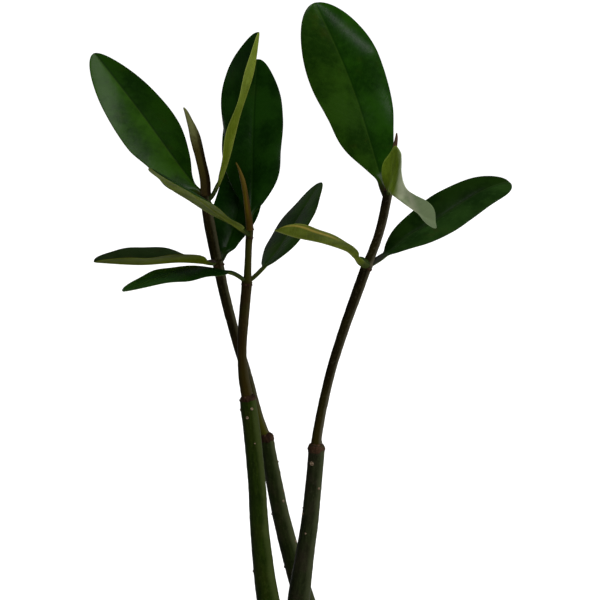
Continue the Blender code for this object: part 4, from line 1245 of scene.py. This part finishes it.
def makeSoil():
    soil = makeSoilBody()
    scatterTree = buildScatterTree()
    lowest = (soilShape["top"] - soilShape["scatterDepth"]) * mm
    crumbs, grit = (
        growPiece(name, soil.data, scatterTree, {
            **look, "lowest": lowest, "finish": earthMaterial(look["earth"]),
        })
        for name, look in scattered.items()
    )
    standFor(soil, "earth", "soil")
    standFor(crumbs, "earth")
    standFor(grit, "earth")
    print("soil:", len(crumbs.data.polygons), "crumb faces,", len(grit.data.polygons), "grit faces")


# Camera, light and floor

view = {"aim": (0.0015, 0, 0.293), "distance": 0.7, "elevation": 5, "lens": 84, "sensor": 36, "farthest": 200}
lamps = {  # wide soft suns light the plant and the whole floor alike
    "keyLight": {"from": (-0.05, -0.42, 0.91), "softness": 26, "strength": 3.8},
    "sideLight": {"from": (0.9, -0.12, 0.3), "softness": 36, "strength": 2.1},
    "backLight": {"from": (-0.6, 0.6, 0.5), "softness": 40, "strength": 0.25},
    "windowLight": {"from": (0.515, -0.35, 0.78), "softness": 8, "strength": 0.9},
}
roomLight = {"onPlant": 0.1, "seen": 1.1}
floorFinish = {
    "size": 120, "dark": (0.78, 0.78, 0.78), "pale": (0.81, 0.81, 0.81), "roughness": 0.9, "specular": 0.1,
}


def makeCamera():
    camera = placed("camera", bpy.data.cameras.new("camera"))
    tilt = math.radians(view["elevation"])
    camera.location = Vector(view["aim"]) + Vector((0, -math.cos(tilt), math.sin(tilt))) * view["distance"]
    camera.rotation_euler = (math.pi / 2 - tilt, 0, 0)
    camera.data.lens = view["lens"]
    camera.data.sensor_width = view["sensor"]
    camera.data.clip_end = view["farthest"]
    bpy.context.scene.camera = camera


def makeLight():
    for name, lamp in lamps.items():
        light = bpy.data.lights.new(name, "SUN")
        light.angle = math.radians(lamp["softness"])
        light.energy = lamp["strength"]
        placed(name, light).rotation_euler = (-Vector(lamp["from"])).to_track_quat("-Z", "Y").to_euler()
    world = bpy.data.worlds.new("studio")
    world.use_nodes = True
    tree = world.node_tree
    backdrop = tree.nodes["Background"].inputs
    backdrop["Color"].default_value = (1, 1, 1, 1)
    seen = tree.nodes.new("ShaderNodeLightPath").outputs["Is Camera Ray"]
    plug(tree, between(tree, roomLight["onPlant"], roomLight["seen"], seen), backdrop["Strength"])
    bpy.context.scene.world = world
    bpy.context.scene.view_settings.view_transform = "Standard"


def makeFloor():
    bpy.ops.mesh.primitive_plane_add(size=floorFinish["size"])
    floor = bpy.context.object
    floor.name = "paleFloor"
    material, tree = newMaterial("palePaper")
    colour = mixed(tree, noiseOn(tree, objectPlace(tree), 90, 3), floorFinish["dark"], floorFinish["pale"])
    floor.data.materials.append(finished(material, colour, floorFinish["specular"], floorFinish["roughness"]))
    print("camera, light and floor")


makeCamera()
makePot()
makeSoil()
makeRoundPieces(buildStemTree())
makeLenticels(buildDotTree())
makeLeaves(buildLeafTree(), leafFinishes())
makeLight()
makeFloor()
